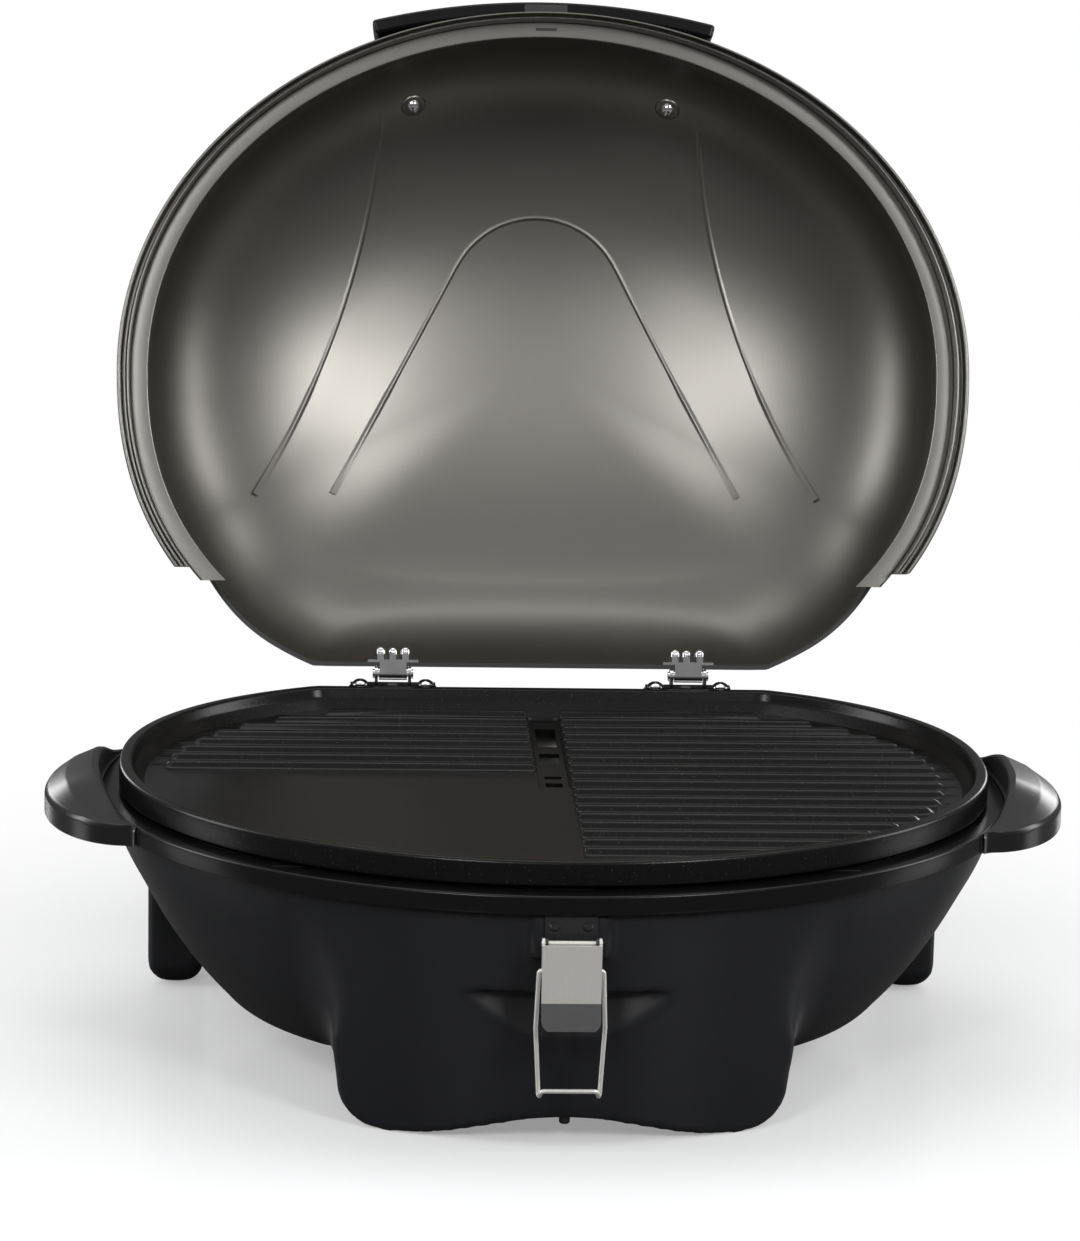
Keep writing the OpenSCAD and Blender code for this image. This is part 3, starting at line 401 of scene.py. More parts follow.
# %% Finishes of the fittings
steel = finish("latch_brushed_steel", brush, {
    "Dark": (0.66, 0.65, 0.625), "Light": (0.8, 0.785, 0.76), "Stretch": (2500.0, 2500.0, 35.0),
    "Gloss Low": 0.26, "Gloss High": 0.38, "Depth": 0.12}, Metallic=0.5)
# A near-black copy of the latch's brushed steel for the lever's bent tip: a painted dark reflection on the
# tip, not a different metal.
tip_painted_reflection_steel = finish("latch_tip_painted_reflection", brush, {
    "Dark": (0.1, 0.1, 0.1), "Light": (0.16, 0.16, 0.16), "Stretch": (2500.0, 2500.0, 35.0),
    "Gloss Low": 0.2, "Gloss High": 0.3, "Depth": 0.12}, Metallic=1.0)
dark_steel = finish("latch_bracket_black", grain, {
    "Dark": (0.012, 0.012, 0.013), "Light": (0.022, 0.022, 0.023), "Cloud Scale": 80.0, "Grain Scale": 1500.0,
    "Gloss Low": 0.3, "Gloss High": 0.42, "Depth": 0.15}, Coat_Weight=0.1)
bright = finish("bright_plated_steel", grain, {
    "Dark": (0.7, 0.7, 0.71), "Light": (0.8, 0.8, 0.81), "Cloud Scale": 60.0, "Grain Scale": 1200.0,
    "Gloss Low": 0.1, "Gloss High": 0.2, "Depth": 0.05}, Metallic=1.0)
zinc = finish("zinc_screws", grain, {
    "Dark": (0.4, 0.4, 0.41), "Light": (0.55, 0.55, 0.56), "Cloud Scale": 200.0, "Grain Scale": 2000.0,
    "Gloss Low": 0.3, "Gloss High": 0.45, "Depth": 0.2}, Metallic=1.0)
print("finishes so far:", len(bpy.data.materials))

# %% Finishes below the plate
pan_metal = finish("reflector_aluminium", brush, {
    "Dark": (0.5, 0.5, 0.495), "Light": (0.62, 0.62, 0.61), "Stretch": (18.0, 900.0, 900.0),
    "Gloss Low": 0.28, "Gloss High": 0.42, "Depth": 0.1}, Metallic=1.0)
tube_metal = finish("element_sheath", grain, {
    "Dark": (0.06, 0.055, 0.05), "Light": (0.13, 0.12, 0.11), "Cloud Scale": 40.0, "Grain Scale": 1800.0,
    "Gloss Low": 0.45, "Gloss High": 0.65, "Depth": 0.3}, Metallic=0.8)
ceramic = finish("ceramic_white", grain, {
    "Dark": (0.62, 0.59, 0.53), "Light": (0.74, 0.71, 0.65), "Cloud Scale": 60.0, "Grain Scale": 1500.0,
    "Gloss Low": 0.55, "Gloss High": 0.7, "Depth": 0.2})
dull_black = finish("inlet_dull_plastic", grain, {
    "Dark": (0.01, 0.01, 0.01), "Light": (0.018, 0.018, 0.018), "Cloud Scale": 30.0, "Grain Scale": 1600.0,
    "Gloss Low": 0.5, "Gloss High": 0.62, "Depth": 0.3})
print("finishes:", len(bpy.data.materials))

# %% [markdown]
# ## Small pieces that stay as the CAD made them
# Hinges, screws, nuts, latch and the pieces below the plate already have their true shape.
# They only need a finish and slightly broken edges, because a perfectly sharp edge shows no
# highlight and looks drawn.

# %% Finish the CAD pieces
cad_finish = {
    "handle_screws": (zinc, 0.15), "reflector_pan": (pan_metal, 0), "reflector_screws": (zinc, 0.2),
    "heating_element": (tube_metal, 0), "element_brackets": (pan_metal, 0.2),
    "element_bushings": (ceramic, 0.4), "thermal_cutout": (ceramic, 0.3),
    "inlet_housing": (dull_black, 0.8), "inlet_pins": (bright, 0.8), "inlet_screws": (zinc, 0.1),
    "grease_tray": (pan_metal, 0.5), "lid_handle_screws": (bright, 0.15), "lid_catch": (dark_steel, 0.25),
    "hinge_strap_left": (bright, 0.3), "hinge_strap_right": (bright, 0.3),
    "hinge_strap_screws": (bright, 0.15), "hinge_leaf_left": (bright, 0.25),
    "hinge_leaf_right": (bright, 0.25), "hinge_pins": (bright, 0.3), "hinge_bolts": (bright, 0.25),
    "hinge_nuts": (bright, 0.2), "latch_bracket": (dark_steel, 0.2), "latch_rivets": (dark_steel, 0.15),
    "latch_pin": (steel, 0.2), "latch_lever": (steel, 0.3)}
for name, (material, edge) in cad_finish.items():
    o = nodes[name]
    o.data.materials.clear()
    o.data.materials.append(material)
    if edge:
        soften(o, edge, 2)
# Lever faces below the bend take the near-black steel, which paints a dark reflection onto the bent tip.
LEVER_BEND_Z = 91.5
lever = nodes["latch_lever"]
lever.data.materials.append(tip_painted_reflection_steel)
for p in lever.data.polygons:
    if (lever.matrix_world @ p.center).z < LEVER_BEND_Z * MM:
        p.material_index = 1
print("CAD pieces finished:", len(cad_finish))

# %% [markdown]
# ## Cooking plate
# The plate is one casting: a rounded rim, a drafted wall, a gutter and a floor with ribs on
# the right and behind, and a drain channel between. The wall is a sweep round the outline.
# The floor is a sheet of rows and columns whose heights follow the ribs, which gives the
# soft rib tops of a casting without any boolean.

# %% Plate rim and wall
RIM, FLOOR, UNDER, WALL_FOOT = 165.0, 153.0, 149.0, 151.0
SLAB_EDGE, FLOOR_EDGE, GUTTER = -10.0, -14.5, -28.0
rim_path = fillet([(SLAB_EDGE, UNDER), (SLAB_EDGE, WALL_FOOT), (0, WALL_FOOT), (0, RIM), (-7, RIM),
                   (-9, FLOOR + 6), (FLOOR_EDGE, FLOOR)],
                  [0, 0, 1.2, 2.6, 2.4, 6, 3.5], closed=False, steps=5)
wall = around_outline(rim_path, closed=False)
print("plate wall:", len(wall[1]), "faces")

# %% Ribs
RIB, PITCH, FIRST_RIB = 4.0, 17.9, 169.0
CHANNEL_FRONT, CHANNEL_BACK, CHANNEL_HALF, CHANNEL_DEEP = 4.0, 166.0, 8.2, 1.6
RIB_START = CHANNEL_HALF + 1
right_ribs = [FIRST_RIB - PITCH * i for i in range(18)]
left_ribs = right_ribs[:8]
half_rib = [(0, 1.0), (1.4, 0.95), (2.4, 0.72), (3.4, 0.32), (4.4, 0.06), (5.2, 0.0)]
rib_shape = [(-d, h) for d, h in half_rib[:0:-1]] + half_rib


def rib_end(y):
    """How far from the middle the ribs reach at depth y."""
    return float(side_x(GUTTER, y)) + 4


def rib_height(y, x):
    near = min(right_ribs if x > 0 else left_ribs, key=lambda r: abs(r - y))
    reach = min(max((rib_end(near) - abs(x)) / 5, 0), 1) * min(max((abs(x) - RIB_START) / 2, 0), 1)
    return RIB * np.interp(y - near, *zip(*rib_shape)) * reach * (2 - reach)


print("ribs:", len(right_ribs), "on the right and", len(left_ribs), "on the left")

# %% Plate floor with channel and drain openings
WIDE_SLOT, NARROW_SLOT = 6.0, 5.0
openings = [(102, 145, WIDE_SLOT), (62, 86, WIDE_SLOT), (28, 34, NARROW_SLOT), (10, 19, NARROW_SLOT)]
slot_ends = {v for a, b, _ in openings for v in (a, b)}
inner = outline(FLOOR_EDGE)
low_y, high_y = inner[:, 1].min(), inner[:, 1].max()
rows = {round(r + dy, 3) for r in right_ribs for dy, _ in rib_shape} | slot_ends
rows |= {CHANNEL_FRONT, CHANNEL_FRONT - 1.5, CHANNEL_BACK, CHANNEL_BACK + 1.5}
rows |= {low_y + d for d in (0.02, 0.3, 1, 2.5, 5, 9, 14, 20, 27)} | {high_y - 4, high_y}
rows = np.array(sorted(r for r in rows if low_y < r <= high_y + 1e-6))
points, grid = [], []
for y in rows:
    half = float(side_x(FLOOR_EDGE, y))
    inside = rib_end(y) if y > WIDE_Y + 1 - FRONT - GUTTER else half - 6
    inside = min(max(inside, 30), half - 2)
    flank = RIB_START + 2.1
    marks = [half, inside + 0.3, inside - 2.5, inside - 6, (inside + flank) / 2, flank, RIB_START + 1,
             RIB_START, CHANNEL_HALF, WIDE_SLOT, NARROW_SLOT, 0]
    marks = [min(v, half) for v in marks]
    line = []
    for x in [-v for v in marks] + marks[-2::-1]:
        z = FLOOR + rib_height(y, x)
        if abs(x) < CHANNEL_HALF + 0.1 and CHANNEL_FRONT - 0.1 < y < CHANNEL_BACK + 0.1:
            z = FLOOR - CHANNEL_DEEP
        line.append(len(points))
        points.append((x, y, z))
    grid.append(line)
faces = []
for k in range(len(rows) - 1):
    mid_y = (rows[k] + rows[k + 1]) / 2
    for i in range(len(grid[0]) - 1):
        mid_x = (points[grid[k][i]][0] + points[grid[k][i + 1]][0]) / 2
        if not any(a < mid_y < b and abs(mid_x) < w for a, b, w in openings):
            faces.append((grid[k][i], grid[k][i + 1], grid[k + 1][i + 1], grid[k + 1][i]))
for a, b, w in openings:
    corners = [(-w, a), (w, a), (w, b), (-w, b)]
    base = len(points)
    points += [(x, y, z) for z in (FLOOR - CHANNEL_DEEP, UNDER) for x, y in corners]
    faces += [(base + i, base + 4 + i, base + 4 + (i + 1) % 4, base + (i + 1) % 4) for i in range(4)]
cooking_plate = piece("cooking_plate", *join(wall, (points, faces)), "plate", plate_coat, 40)
print("cooking plate:", len(cooking_plate.data.polygons), "faces")

# %% Underside of the plate
slab_y = outline(SLAB_EDGE)[:, 1]
under_rows = np.linspace(slab_y.min() + 0.01, slab_y.max() - 0.01, 120)
under_rows = np.array(sorted(set(under_rows.round(3)) | slot_ends))
points, faces = [], []
for y in under_rows:
    half = float(side_x(SLAB_EDGE, y))
    points += [(x, y, UNDER) for x in (-half, -WIDE_SLOT, -NARROW_SLOT, NARROW_SLOT, WIDE_SLOT, half)]
for k in range(len(under_rows) - 1):
    mid = (under_rows[k] + under_rows[k + 1]) / 2
    hole = next((w for a, b, w in openings if a < mid < b), 0)
    for i in range(5):
        if (i == 2 and hole) or (i in (1, 3) and hole == WIDE_SLOT):
            continue
        a, b = k * 6 + i, (k + 1) * 6 + i
        faces.append((a, b, b + 1, a + 1))
plate_underside = piece("plate_underside", points, faces, "plate", plate_coat)
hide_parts("grill_plate")
print("plate underside:", len(faces), "faces")

# %% [markdown]
# ## Ring
# The glossy ring caps the edge of the bowl. Its light is all in its rounded edges, so the
# section is drawn with fillets and swept round the outline. Two pads at the back carry the
# hinges, and seven small lugs inside carry the plate.

# %% Ring, hinge pads and plate lugs
RING_TOP, RING_LOW, RING_OUT = 148.5, 137.5, 10.0
ring_path = fillet([(-6, RING_TOP - 3), (-6, RING_TOP), (RING_OUT, RING_TOP), (RING_OUT, RING_LOW),
                    (7, RING_LOW), (7, RING_TOP - 3), (4, RING_TOP - 3), (4, RING_LOW), (1, RING_LOW),
                    (1, RING_TOP - 3)],
                   [0.5, 1.0, 1.7, 1.3, 0.6, 0.5, 0.5, 0.4, 0.4, 0.5], steps=4)
rim_ring = piece("glossy_ring", *around_outline(ring_path[::-1]), "base", ring_gloss, 50)
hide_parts("rim_ring")
pads = [block(s * 90.5 - 27, s * 90.5 + 27, 198.5, 212.5, RING_LOW, 162) for s in (-1, 1)]
lugs = [block(-12, 12, -190, -184, RING_TOP - 3, UNDER)]
side = float(side_x(-4, WIDE_Y))
for s in (-1, 1):
    lugs.append(side_block(s, side - 10, side, WIDE_Y - 12, WIDE_Y + 12, RING_TOP - 3, UNDER))
    for y in (180, -144):
        lugs.append(side_block(s, 140, 160, y - 6, y + 6, RING_TOP - 3, UNDER))
hinge_pads = soften(piece("hinge_pads", *join(*pads), "base", ring_gloss), 1.6, 4)
plate_lugs = soften(piece("plate_lugs", *join(*lugs), "base", ring_gloss), 0.4)
print("ring:", len(rim_ring.data.polygons), "faces; pads:", len(pads), "lugs:", len(lugs))

# %% [markdown]
# ## Side handles
# Each handle is a hollow lobe, open below for the fingers, that rises to a crest beside the
# lid. It is lofted from sections at many depths: outside wall, rolled shoulder, slope, crest,
# inner wall, and back down inside.

# %% Side handle
HANDLE_MID, HANDLE_HALF, HANDLE_ROOT, REACH = 12.0, 84.0, 241.0, 292.0
HANDLE_TOP, CREST, SHOULDER, HANDLE_WALL = 149.6, 13.9, 151.2, 3.5


def handle_section(y):
    """The section at depth y, from the ring over the crest to the outside and back within."""
    q = abs(y - HANDLE_MID) / HANDLE_HALF
    lobe = HANDLE_ROOT - 300 * (q - 1)
    if q < 1:
        lobe = HANDLE_ROOT + (REACH - HANDLE_ROOT) * math.sqrt(1 - q * q)
    low = float(side_x(RING_OUT, y))
    foot = low + 1.6
    out = (lobe + foot + math.hypot(lobe - foot, 5)) / 2
    inner = min(float(side_x(RING_OUT + 1.5, y)), out - 1.5)
    top = HANDLE_TOP + CREST * float(ease(y, -76, -4) * (1 - ease(y, 42, 100)))
    shoulder = min(SHOULDER, top - 0.3)
    w = out - inner
    outside = [(low, RING_LOW), (low, RING_TOP + 0.2), (inner, RING_TOP + 0.4), (inner, top),
               (inner + min(4.0, w * 0.3), top),
               (inner + w * 0.62, shoulder + (top - shoulder) * 0.52), (out - 1.5, shoulder),
               (out, shoulder - 3), (out, RING_LOW)]
    outside = fillet(outside, [0, 0.3, 0.3, min(1.6, w * 0.1), min(4.0, w * 0.15), min(14, w * 0.3),
                               min(7, w * 0.25), min(4, w * 0.2), 0.0], closed=False, steps=4)
    t = min(HANDLE_WALL, w * 0.4)
    inside = [(out - t, RING_LOW), (out - t, shoulder - t),
              (inner + w * 0.6, shoulder + (top - shoulder) * 0.5 - t),
              (max(low + t, inner - 0.4), top - t), (low + t, RING_LOW)]
    inside = fillet(inside, [0, min(2, w * 0.1), min(5, w * 0.2), 0.5, 0], closed=False, steps=3)
    flat = np.concatenate([outside, inside])
    return np.column_stack([flat[:, 0], np.full(len(flat), y), flat[:, 1]])


handle_y = HANDLE_MID + (HANDLE_HALF + 3) * np.sin(np.linspace(-math.pi / 2, math.pi / 2, 97))
for side, name in ((1, "right"), (-1, "left")):
    points, faces = loft([handle_section(float(y)) * np.array([side, 1, 1]) for y in handle_y])
    handle = piece("side_handle_" + name, points, [f[::side] for f in faces], "base", handle_satin, 60)
    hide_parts("handle_" + name)
print("side handles:", len(handle.data.polygons), "faces each")

# %% [markdown]
# ## Bowl
# Bowl, front apron and legs are one moulding, and where they meet the plastic runs together
# in soft fillets. A voxel remesh of the overlapping solids, smoothed a little, gives such
# fillets everywhere at once, which separate meshes or a plain boolean would not.

# %% Bowl outside
LEVELS = np.array([0, 0.16, 0.336, 0.516, 0.695, 0.785, 0.874, 0.965, 1.0])
BOWL_OUT, BOWL_DEPTH = 4.0, 111.5
SHARES = np.array([1, 0.974, 0.933, 0.888, 0.834, 0.802, 0.766, 0.722, 0.66])


def smooth_curve(x, xs, ys):
    """A cubic through the given points that never overshoots them."""
    h, d = np.diff(xs), np.diff(ys) / np.diff(xs)
    mean = np.where(d[:-1] * d[1:] > 0, 2 * d[:-1] * d[1:] / (d[:-1] + d[1:]), 0)
    m = np.concatenate([[d[0]], mean, [d[-1]]])
    k = np.clip(np.searchsorted(xs, x) - 1, 0, len(h) - 1)
    u = (x - xs[k]) / h[k]
    return ((1 + 2 * u) * (1 - u) ** 2 * ys[k] + u * (1 - u) ** 2 * h[k] * m[k]
            + u * u * (3 - 2 * u) * ys[k + 1] - u * u * (1 - u) * h[k] * m[k + 1])


def tub(offset, lift, depths, cut=lambda points: points):
    """The bowl without its apron, at the given shares of its depth."""
    rings = []
    for p in depths:
        flat = outline(offset) * smooth_curve(p, LEVELS, SHARES)
        rings.append(cut(ring_of(flat, RING_LOW - p * BOWL_DEPTH + lift)))
    return loft(rings)


print("bowl floor at", RING_LOW - BOWL_DEPTH, "mm")

# %% Finger scoop: part of a ball pressed into the front
SCOOP_TOP, SCOOP_HALF, SCOOP_DROP, SCOOP_FRONT, SCOOP_R = 90.0, 72.0, 32.0, -188.0, 210.0
scoop_circle = (SCOOP_HALF ** 2 + SCOOP_DROP ** 2) / (2 * SCOOP_DROP)
scoop_y = SCOOP_FRONT - math.sqrt(SCOOP_R ** 2 - scoop_circle ** 2)
scoop_z = SCOOP_TOP - SCOOP_DROP + scoop_circle


def scooped(points):
    """Push points that lie in front of the finger scoop's ball back onto it."""
    inside = SCOOP_R ** 2 - points[:, 0] ** 2 - (points[:, 2] - scoop_z) ** 2
    hit = (points[:, 2] <= SCOOP_TOP) & (points[:, 1] < -100) & (inside > 0)
    points = points.copy()
    points[hit, 1] = np.maximum(points[hit, 1], scoop_y + np.sqrt(inside[hit]))
    return points


print("scoop:", 2 * SCOOP_HALF, "mm wide at its chord, its circle", scoop_circle, "mm")

# %% Front apron with its arch and two feet
APRON_BACK, APRON_ARCH, ARCH_HALF, FOOT_FLAT, FOOT_ROUND, FLARE = -112.0, 15.0, 94.0, 100.0, 24.0, 14.0


def apron_foot(x):
    """Height of the lower edge: an arch, a flat foot and a round corner."""
    x = abs(x)
    if x < ARCH_HALF:
        return APRON_ARCH * (0.5 + 0.5 * math.cos(math.pi * x / ARCH_HALF))
    return FOOT_ROUND - math.sqrt(max(0, FOOT_ROUND ** 2 - max(0, x - FOOT_FLAT) ** 2))


def apron_face(x, z):
    """Depth of the front face, which follows the outline and draws in towards the feet."""
    k = 0.88 + 0.12 * (z + 1) / (RING_LOW + 1)
    return k * (WIDE_Y - (FRONT + BOWL_OUT) * math.sqrt(1 - (x / (k * (HALF_WIDTH + BOWL_OUT))) ** 2))


corner = FOOT_ROUND * np.sin(np.linspace(0, math.pi / 2, 13))
columns = np.concatenate([-FOOT_FLAT - corner[::-1], np.linspace(-98, 98, 99), FOOT_FLAT + corner])
loops = []
for x in columns:
    heights = np.concatenate([np.linspace(apron_foot(x), SCOOP_TOP, 40),
                              np.linspace(SCOOP_TOP + 0.05, RING_LOW, 24)])
    rise = np.clip((heights - FOOT_ROUND) / (RING_LOW - FOOT_ROUND), 0, 1)
    wide = x * (1 + rise * FLARE / (FOOT_FLAT + FOOT_ROUND))
    front = scooped(np.array([(w, apron_face(w, z), z) for w, z in zip(wide, heights)]))
    back = np.array([(w, APRON_BACK, z) for w, z in zip(wide, heights)])
    loops.append(np.concatenate([front, back[::-1]]))
points, faces = loft(loops)
apron = (points, [f[::-1] for f in faces])
print("apron:", len(faces), "faces")

# %% Rear legs
LEG_X, LEG_Y, LEG_ROUND = 220.0, 128.0, 16.0


def rear_leg(side):
    """A peg with a round end, 34 wide and 42 deep, on a small flat."""
    rings = []
    for a in np.linspace(0, math.pi / 2, 12):
        half_x, half_y = 4.4 + 12.6 * math.sin(a), 8 + 13 * math.sin(a)
        corners = [(-half_x, -half_y), (half_x, -half_y), (half_x, half_y), (-half_x, half_y)]
        path = fillet(corners, min(half_x, 7) * 0.95, steps=5) + [side * LEG_X, LEG_Y]
        limit = side_x(8.5, path[:, 1])
        path[:, 0] = np.clip(path[:, 0], -limit, limit)
        rings.append(ring_of(path, LEG_ROUND * (1 - math.cos(a))))
    rings.append(rings[-1] + [0, 0, RING_LOW - LEG_ROUND])
    return loft(rings)


print("rear legs at", LEG_X, LEG_Y)

# %% One moulding
VOXEL = 2.2
ledge = (RING_LOW - SCOOP_TOP) / BOWL_DEPTH
depths = np.sort(np.concatenate([np.linspace(0, 0.85, 36), np.linspace(0.87, 1, 12),
                                 [ledge - 0.0004, ledge + 0.0001]]))
latch_seat, inlet_seat = block(-20, 20, -199, -160, 112, RING_LOW), block(-40, 40, 150, 190, 102, RING_LOW)
solids = join(tub(BOWL_OUT, 0, depths, scooped), apron, rear_leg(1), rear_leg(-1), latch_seat, inlet_seat)
raw = piece("bowl_raw", *solids, None)
remesh = raw.modifiers.new("one_moulding", "REMESH")
remesh.mode, remesh.voxel_size, remesh.use_smooth_shade = "VOXEL", VOXEL * MM, True
relax = raw.modifiers.new("soft_fillets", "SMOOTH")
relax.factor, relax.iterations = 0.5, 6
bpy.context.view_layer.update()
moulded = bpy.data.meshes.new_from_object(raw.evaluated_get(bpy.context.evaluated_depsgraph_get()))
bpy.data.objects.remove(raw)
verts = np.array([v.co for v in moulded.vertices]) / MM
quads = [tuple(p.vertices) for p in moulded.polygons]
quads = [q for q in quads if not all(verts[i][2] > RING_LOW - 1.3 for i in q)]
print("moulding, open under the ring:", len(quads), "faces")

# %% Wider fillets between bowl and apron
FILLET, PASSES = 20.0, 150


def fillet_weight(points, radius):
    """1 where bowl and apron meet, fading to 0 a radius away from either."""
    trees = [BVHTree.FromPolygons([Vector(v) for v in p], f) for p, f in (tub(BOWL_OUT, 0, depths), apron)]
    w = np.zeros(len(points))
    for i, v in enumerate(points):
        if v[1] < -20 and v[2] < 136 and abs(v[0]) > 90:
            d = max(tree.find_nearest(Vector(v))[3] for tree in trees)
            w[i] = max(0.0, 1 - d / radius)
    return np.minimum(1, 1.6 * w) * ease(points[:, 2], 8, 26) * (1 - ease(points[:, 2], 116, 134))


edges = np.array([sorted((q[k], q[(k + 1) % len(q)])) for q in quads for k in range(len(q))])
edges = np.unique(edges, axis=0)
near = np.bincount(edges.ravel(), minlength=len(verts)).clip(1)
weight = fillet_weight(verts, FILLET)[:, None] * 0.8
for _ in range(PASSES):
    total = np.zeros_like(verts)
    for k in range(3):
        total[:, k] = (np.bincount(edges[:, 0], verts[edges[:, 1], k], len(verts))
                       + np.bincount(edges[:, 1], verts[edges[:, 0], k], len(verts)))
    verts += weight * (total / near[:, None] - verts)
print("bowl moulding: box", verts.min(axis=0).round(1), verts.max(axis=0).round(1))

# %% Rubber nub under the apron's arch
nub = [(1.4, 10.4), (2.4, 10.7), (3.0, 11.4), (3.0, 15.5), (2.1, 15.5), (2.1, 17.5)]
rings = [circle((0, -171, z), r, 32) for r, z in nub]
bumper = piece("rubber_nub", np.concatenate(rings), skin(rings) + caps(rings)[:1], "base", dull_black, 50)
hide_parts("apron_bumper")
print("nub:", len(bumper.data.polygons), "faces")

# %% Bowl inside, rails and posts
RAIL_IN, RAIL_OUT, RAIL_LOW, RAIL_TOP, STOP_Y = 68.6, 72.6, 4.0, 27.0, -18.0
hollow, hollow_faces = tub(1, 3, np.linspace(0.027, 1, 24))
hollow_faces = hollow_faces[:-2] + hollow_faces[-1:]
behind = (1 - ease(np.abs(hollow[:, 0]), 60, 100)) * (1 - ease(np.abs(hollow[:, 2] - 74), 18, 50))
hollow[:, 1] += 5 * behind * (hollow[:, 1] < -100)
edge = [ring_of(outline(3.2), RING_LOW - 0.5), ring_of(outline(1.0), RING_LOW - 0.1)]
details = [block(-RAIL_IN, RAIL_IN, STOP_Y - 5, STOP_Y - 0.8, RAIL_LOW, RAIL_TOP)]
for s in (-1, 1):
    details.append(side_block(s, RAIL_IN, RAIL_OUT, STOP_Y, 128, RAIL_LOW, RAIL_TOP))
    details.append(side_block(s, RAIL_IN - 5, RAIL_OUT, STOP_Y, 128, RAIL_LOW, RAIL_LOW + 1.6))
    for y in (-62, 62):
        rings = [circle((s * 90, y, z), 7, 24) for z in (28.0, 60.0)]
        details.append((np.concatenate(rings), skin(rings) + caps(rings)[1:]))
bowl = piece("moulded_bowl", *join((verts, quads), (hollow, hollow_faces),
                                   (np.concatenate(edge), skin(edge)), *details), "base", bowl_black, 55)
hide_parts("base_shell")
print("bowl:", len(bowl.data.polygons), "faces")

# %% [markdown]
# ## Lid
# The lid is drawn shut, as its press tool stands, and every point is then turned about the
# hinge pin into the open pose. Inner and outer skins share the same sections, and the lip
# and rolled bead are a second sweep that stops at the notches beside the hinges.

# %% The dome as a height over the shut lid's plan
LIP, EDGE, BAND, DOME, SHEET = 165.8, 168.0, 22.0, 100.0, 2.2
HINGE_Y, HINGE_Z, OPEN = 206.0, 170.0, math.radians(-105)
DOME_WIDE, DOME_FRONT, DOME_ROUND = HALF_WIDTH - 8, FRONT - 8, 2.1


def opened(p):
    """Turn points of the shut lid into the open pose."""
    p = np.asarray(p, float)
    y, z = p[..., 1] - HINGE_Y, p[..., 2] - HINGE_Z
    return np.stack([p[..., 0], HINGE_Y + y * math.cos(OPEN) - z * math.sin(OPEN),
                     HINGE_Z + y * math.sin(OPEN) + z * math.cos(OPEN)], axis=-1)


def dome_height(x, y):
    """Height of the dome's inside over a point of its plan."""
    a = (x / DOME_WIDE) ** 2 + (y / DOME_FRONT) ** 2 + 1e-12
    b, c = -2 * y * WIDE_Y / DOME_FRONT ** 2, (WIDE_Y / DOME_FRONT) ** 2 - 1
    share = np.minimum(1, 2 * a / (np.sqrt(b * b - 4 * a * c) - b))
    return EDGE + BAND + DOME * (1 - share ** DOME_ROUND) ** (1 / DOME_ROUND)


def dome_normal(x, y, h=0.5):
    """Unit direction out of the dome at a point of its plan."""
    n = np.array([dome_height(x - h, y) - dome_height(x + h, y),
                  dome_height(x, y - h) - dome_height(x, y + h), 2 * h])
    return n / np.linalg.norm(n)


print("dome height in the middle:", round(float(dome_height(0.0, 0.0)), 1))

# %% Where the creases run
CREASE_X, CREASE_Y, CREASE_SLOPE, CREASE_BEND = 99.0, -155.0, 0.0594, 0.00103
ARCH_R, ARCH_TOP, ARCH_LEAN = 57.0, -88.0, math.radians(27.7)
ARCH_TURN_X = ARCH_R * math.cos(ARCH_LEAN)
ARCH_TURN_Y = ARCH_TOP + ARCH_R * (1 - math.sin(ARCH_LEAN))


def long_crease(y):
    """Distance of a long crease from the middle at depth y."""
    return CREASE_X + CREASE_SLOPE * (y - CREASE_Y) + CREASE_BEND * (y - CREASE_Y) ** 2


def arch_leg(y):
    """Distance of the arch's straight leg from the middle at depth y."""
    return ARCH_TURN_X + (y - ARCH_TURN_Y) * math.tan(ARCH_LEAN)


def flattened(x, y):
    """How far the bands between the creases stand in from the plain dome."""
    y = np.asarray(y, float)
    inner, outer = arch_leg(y), long_crease(y)
    u = np.clip((np.abs(x) - inner) / np.maximum(outer - inner, 1), 0, 1)
    return 0.5 * np.sin(math.pi * u) * ease(y, -70, -10) * (1 - ease(y, 60, 110))


print("long creases", long_crease(90.0), "mm and arch", round(float(arch_leg(90.0)), 1), "mm out at y = 90")

# %% Lid skins
LID_AROUND, SHARP, SOFT = 576, 200, 12


def lid_foot(out):
    """Plan of the dome's foot; it swings from the narrow front to the wider back."""
    t = np.arange(LID_AROUND) * 2 * math.pi / LID_AROUND
    x, y = outline_at(t, -8 + 11 * ease(np.sin(t), 0.45, 0.8) + out, np.full(LID_AROUND, 400.0))
    return t, x, y


def dome_skin(out, low_front, low_back, count):
    """Rings from the lid's lower edge up the straight band and over the dome."""
    t, x, y = lid_foot(out)
    limit = WIDE_Y + BACK + 3 + out
    rings = []
    low = low_front + (low_back - low_front) * ease(np.sin(t), 0.5, 0.72)
    for z in (low, 172.0, 178.0, 184.0):
        rings.append(np.column_stack([x, np.minimum(y, limit), np.zeros(LID_AROUND) + z]))
    for a in np.linspace(0, math.pi / 2, count)[:-1]:
        s, rise = math.cos(a) ** (2 / DOME_ROUND), math.sin(a) ** (2 / DOME_ROUND)
        n = SHARP - (SHARP - SOFT) * float(ease(a, 0.0, 0.75))
        back = np.where(y > WIDE_Y, limit * ((np.maximum(y, WIDE_Y) / limit) ** -n + 1) ** (-1 / n), y)
        rings.append(ring_of(np.column_stack([x, back]) * s, EDGE + BAND + (DOME + out) * rise))
    if out == 0:
        for ring in rings[4:]:
            ring[:, 2] -= flattened(ring[:, 0], ring[:, 1])
    return rings


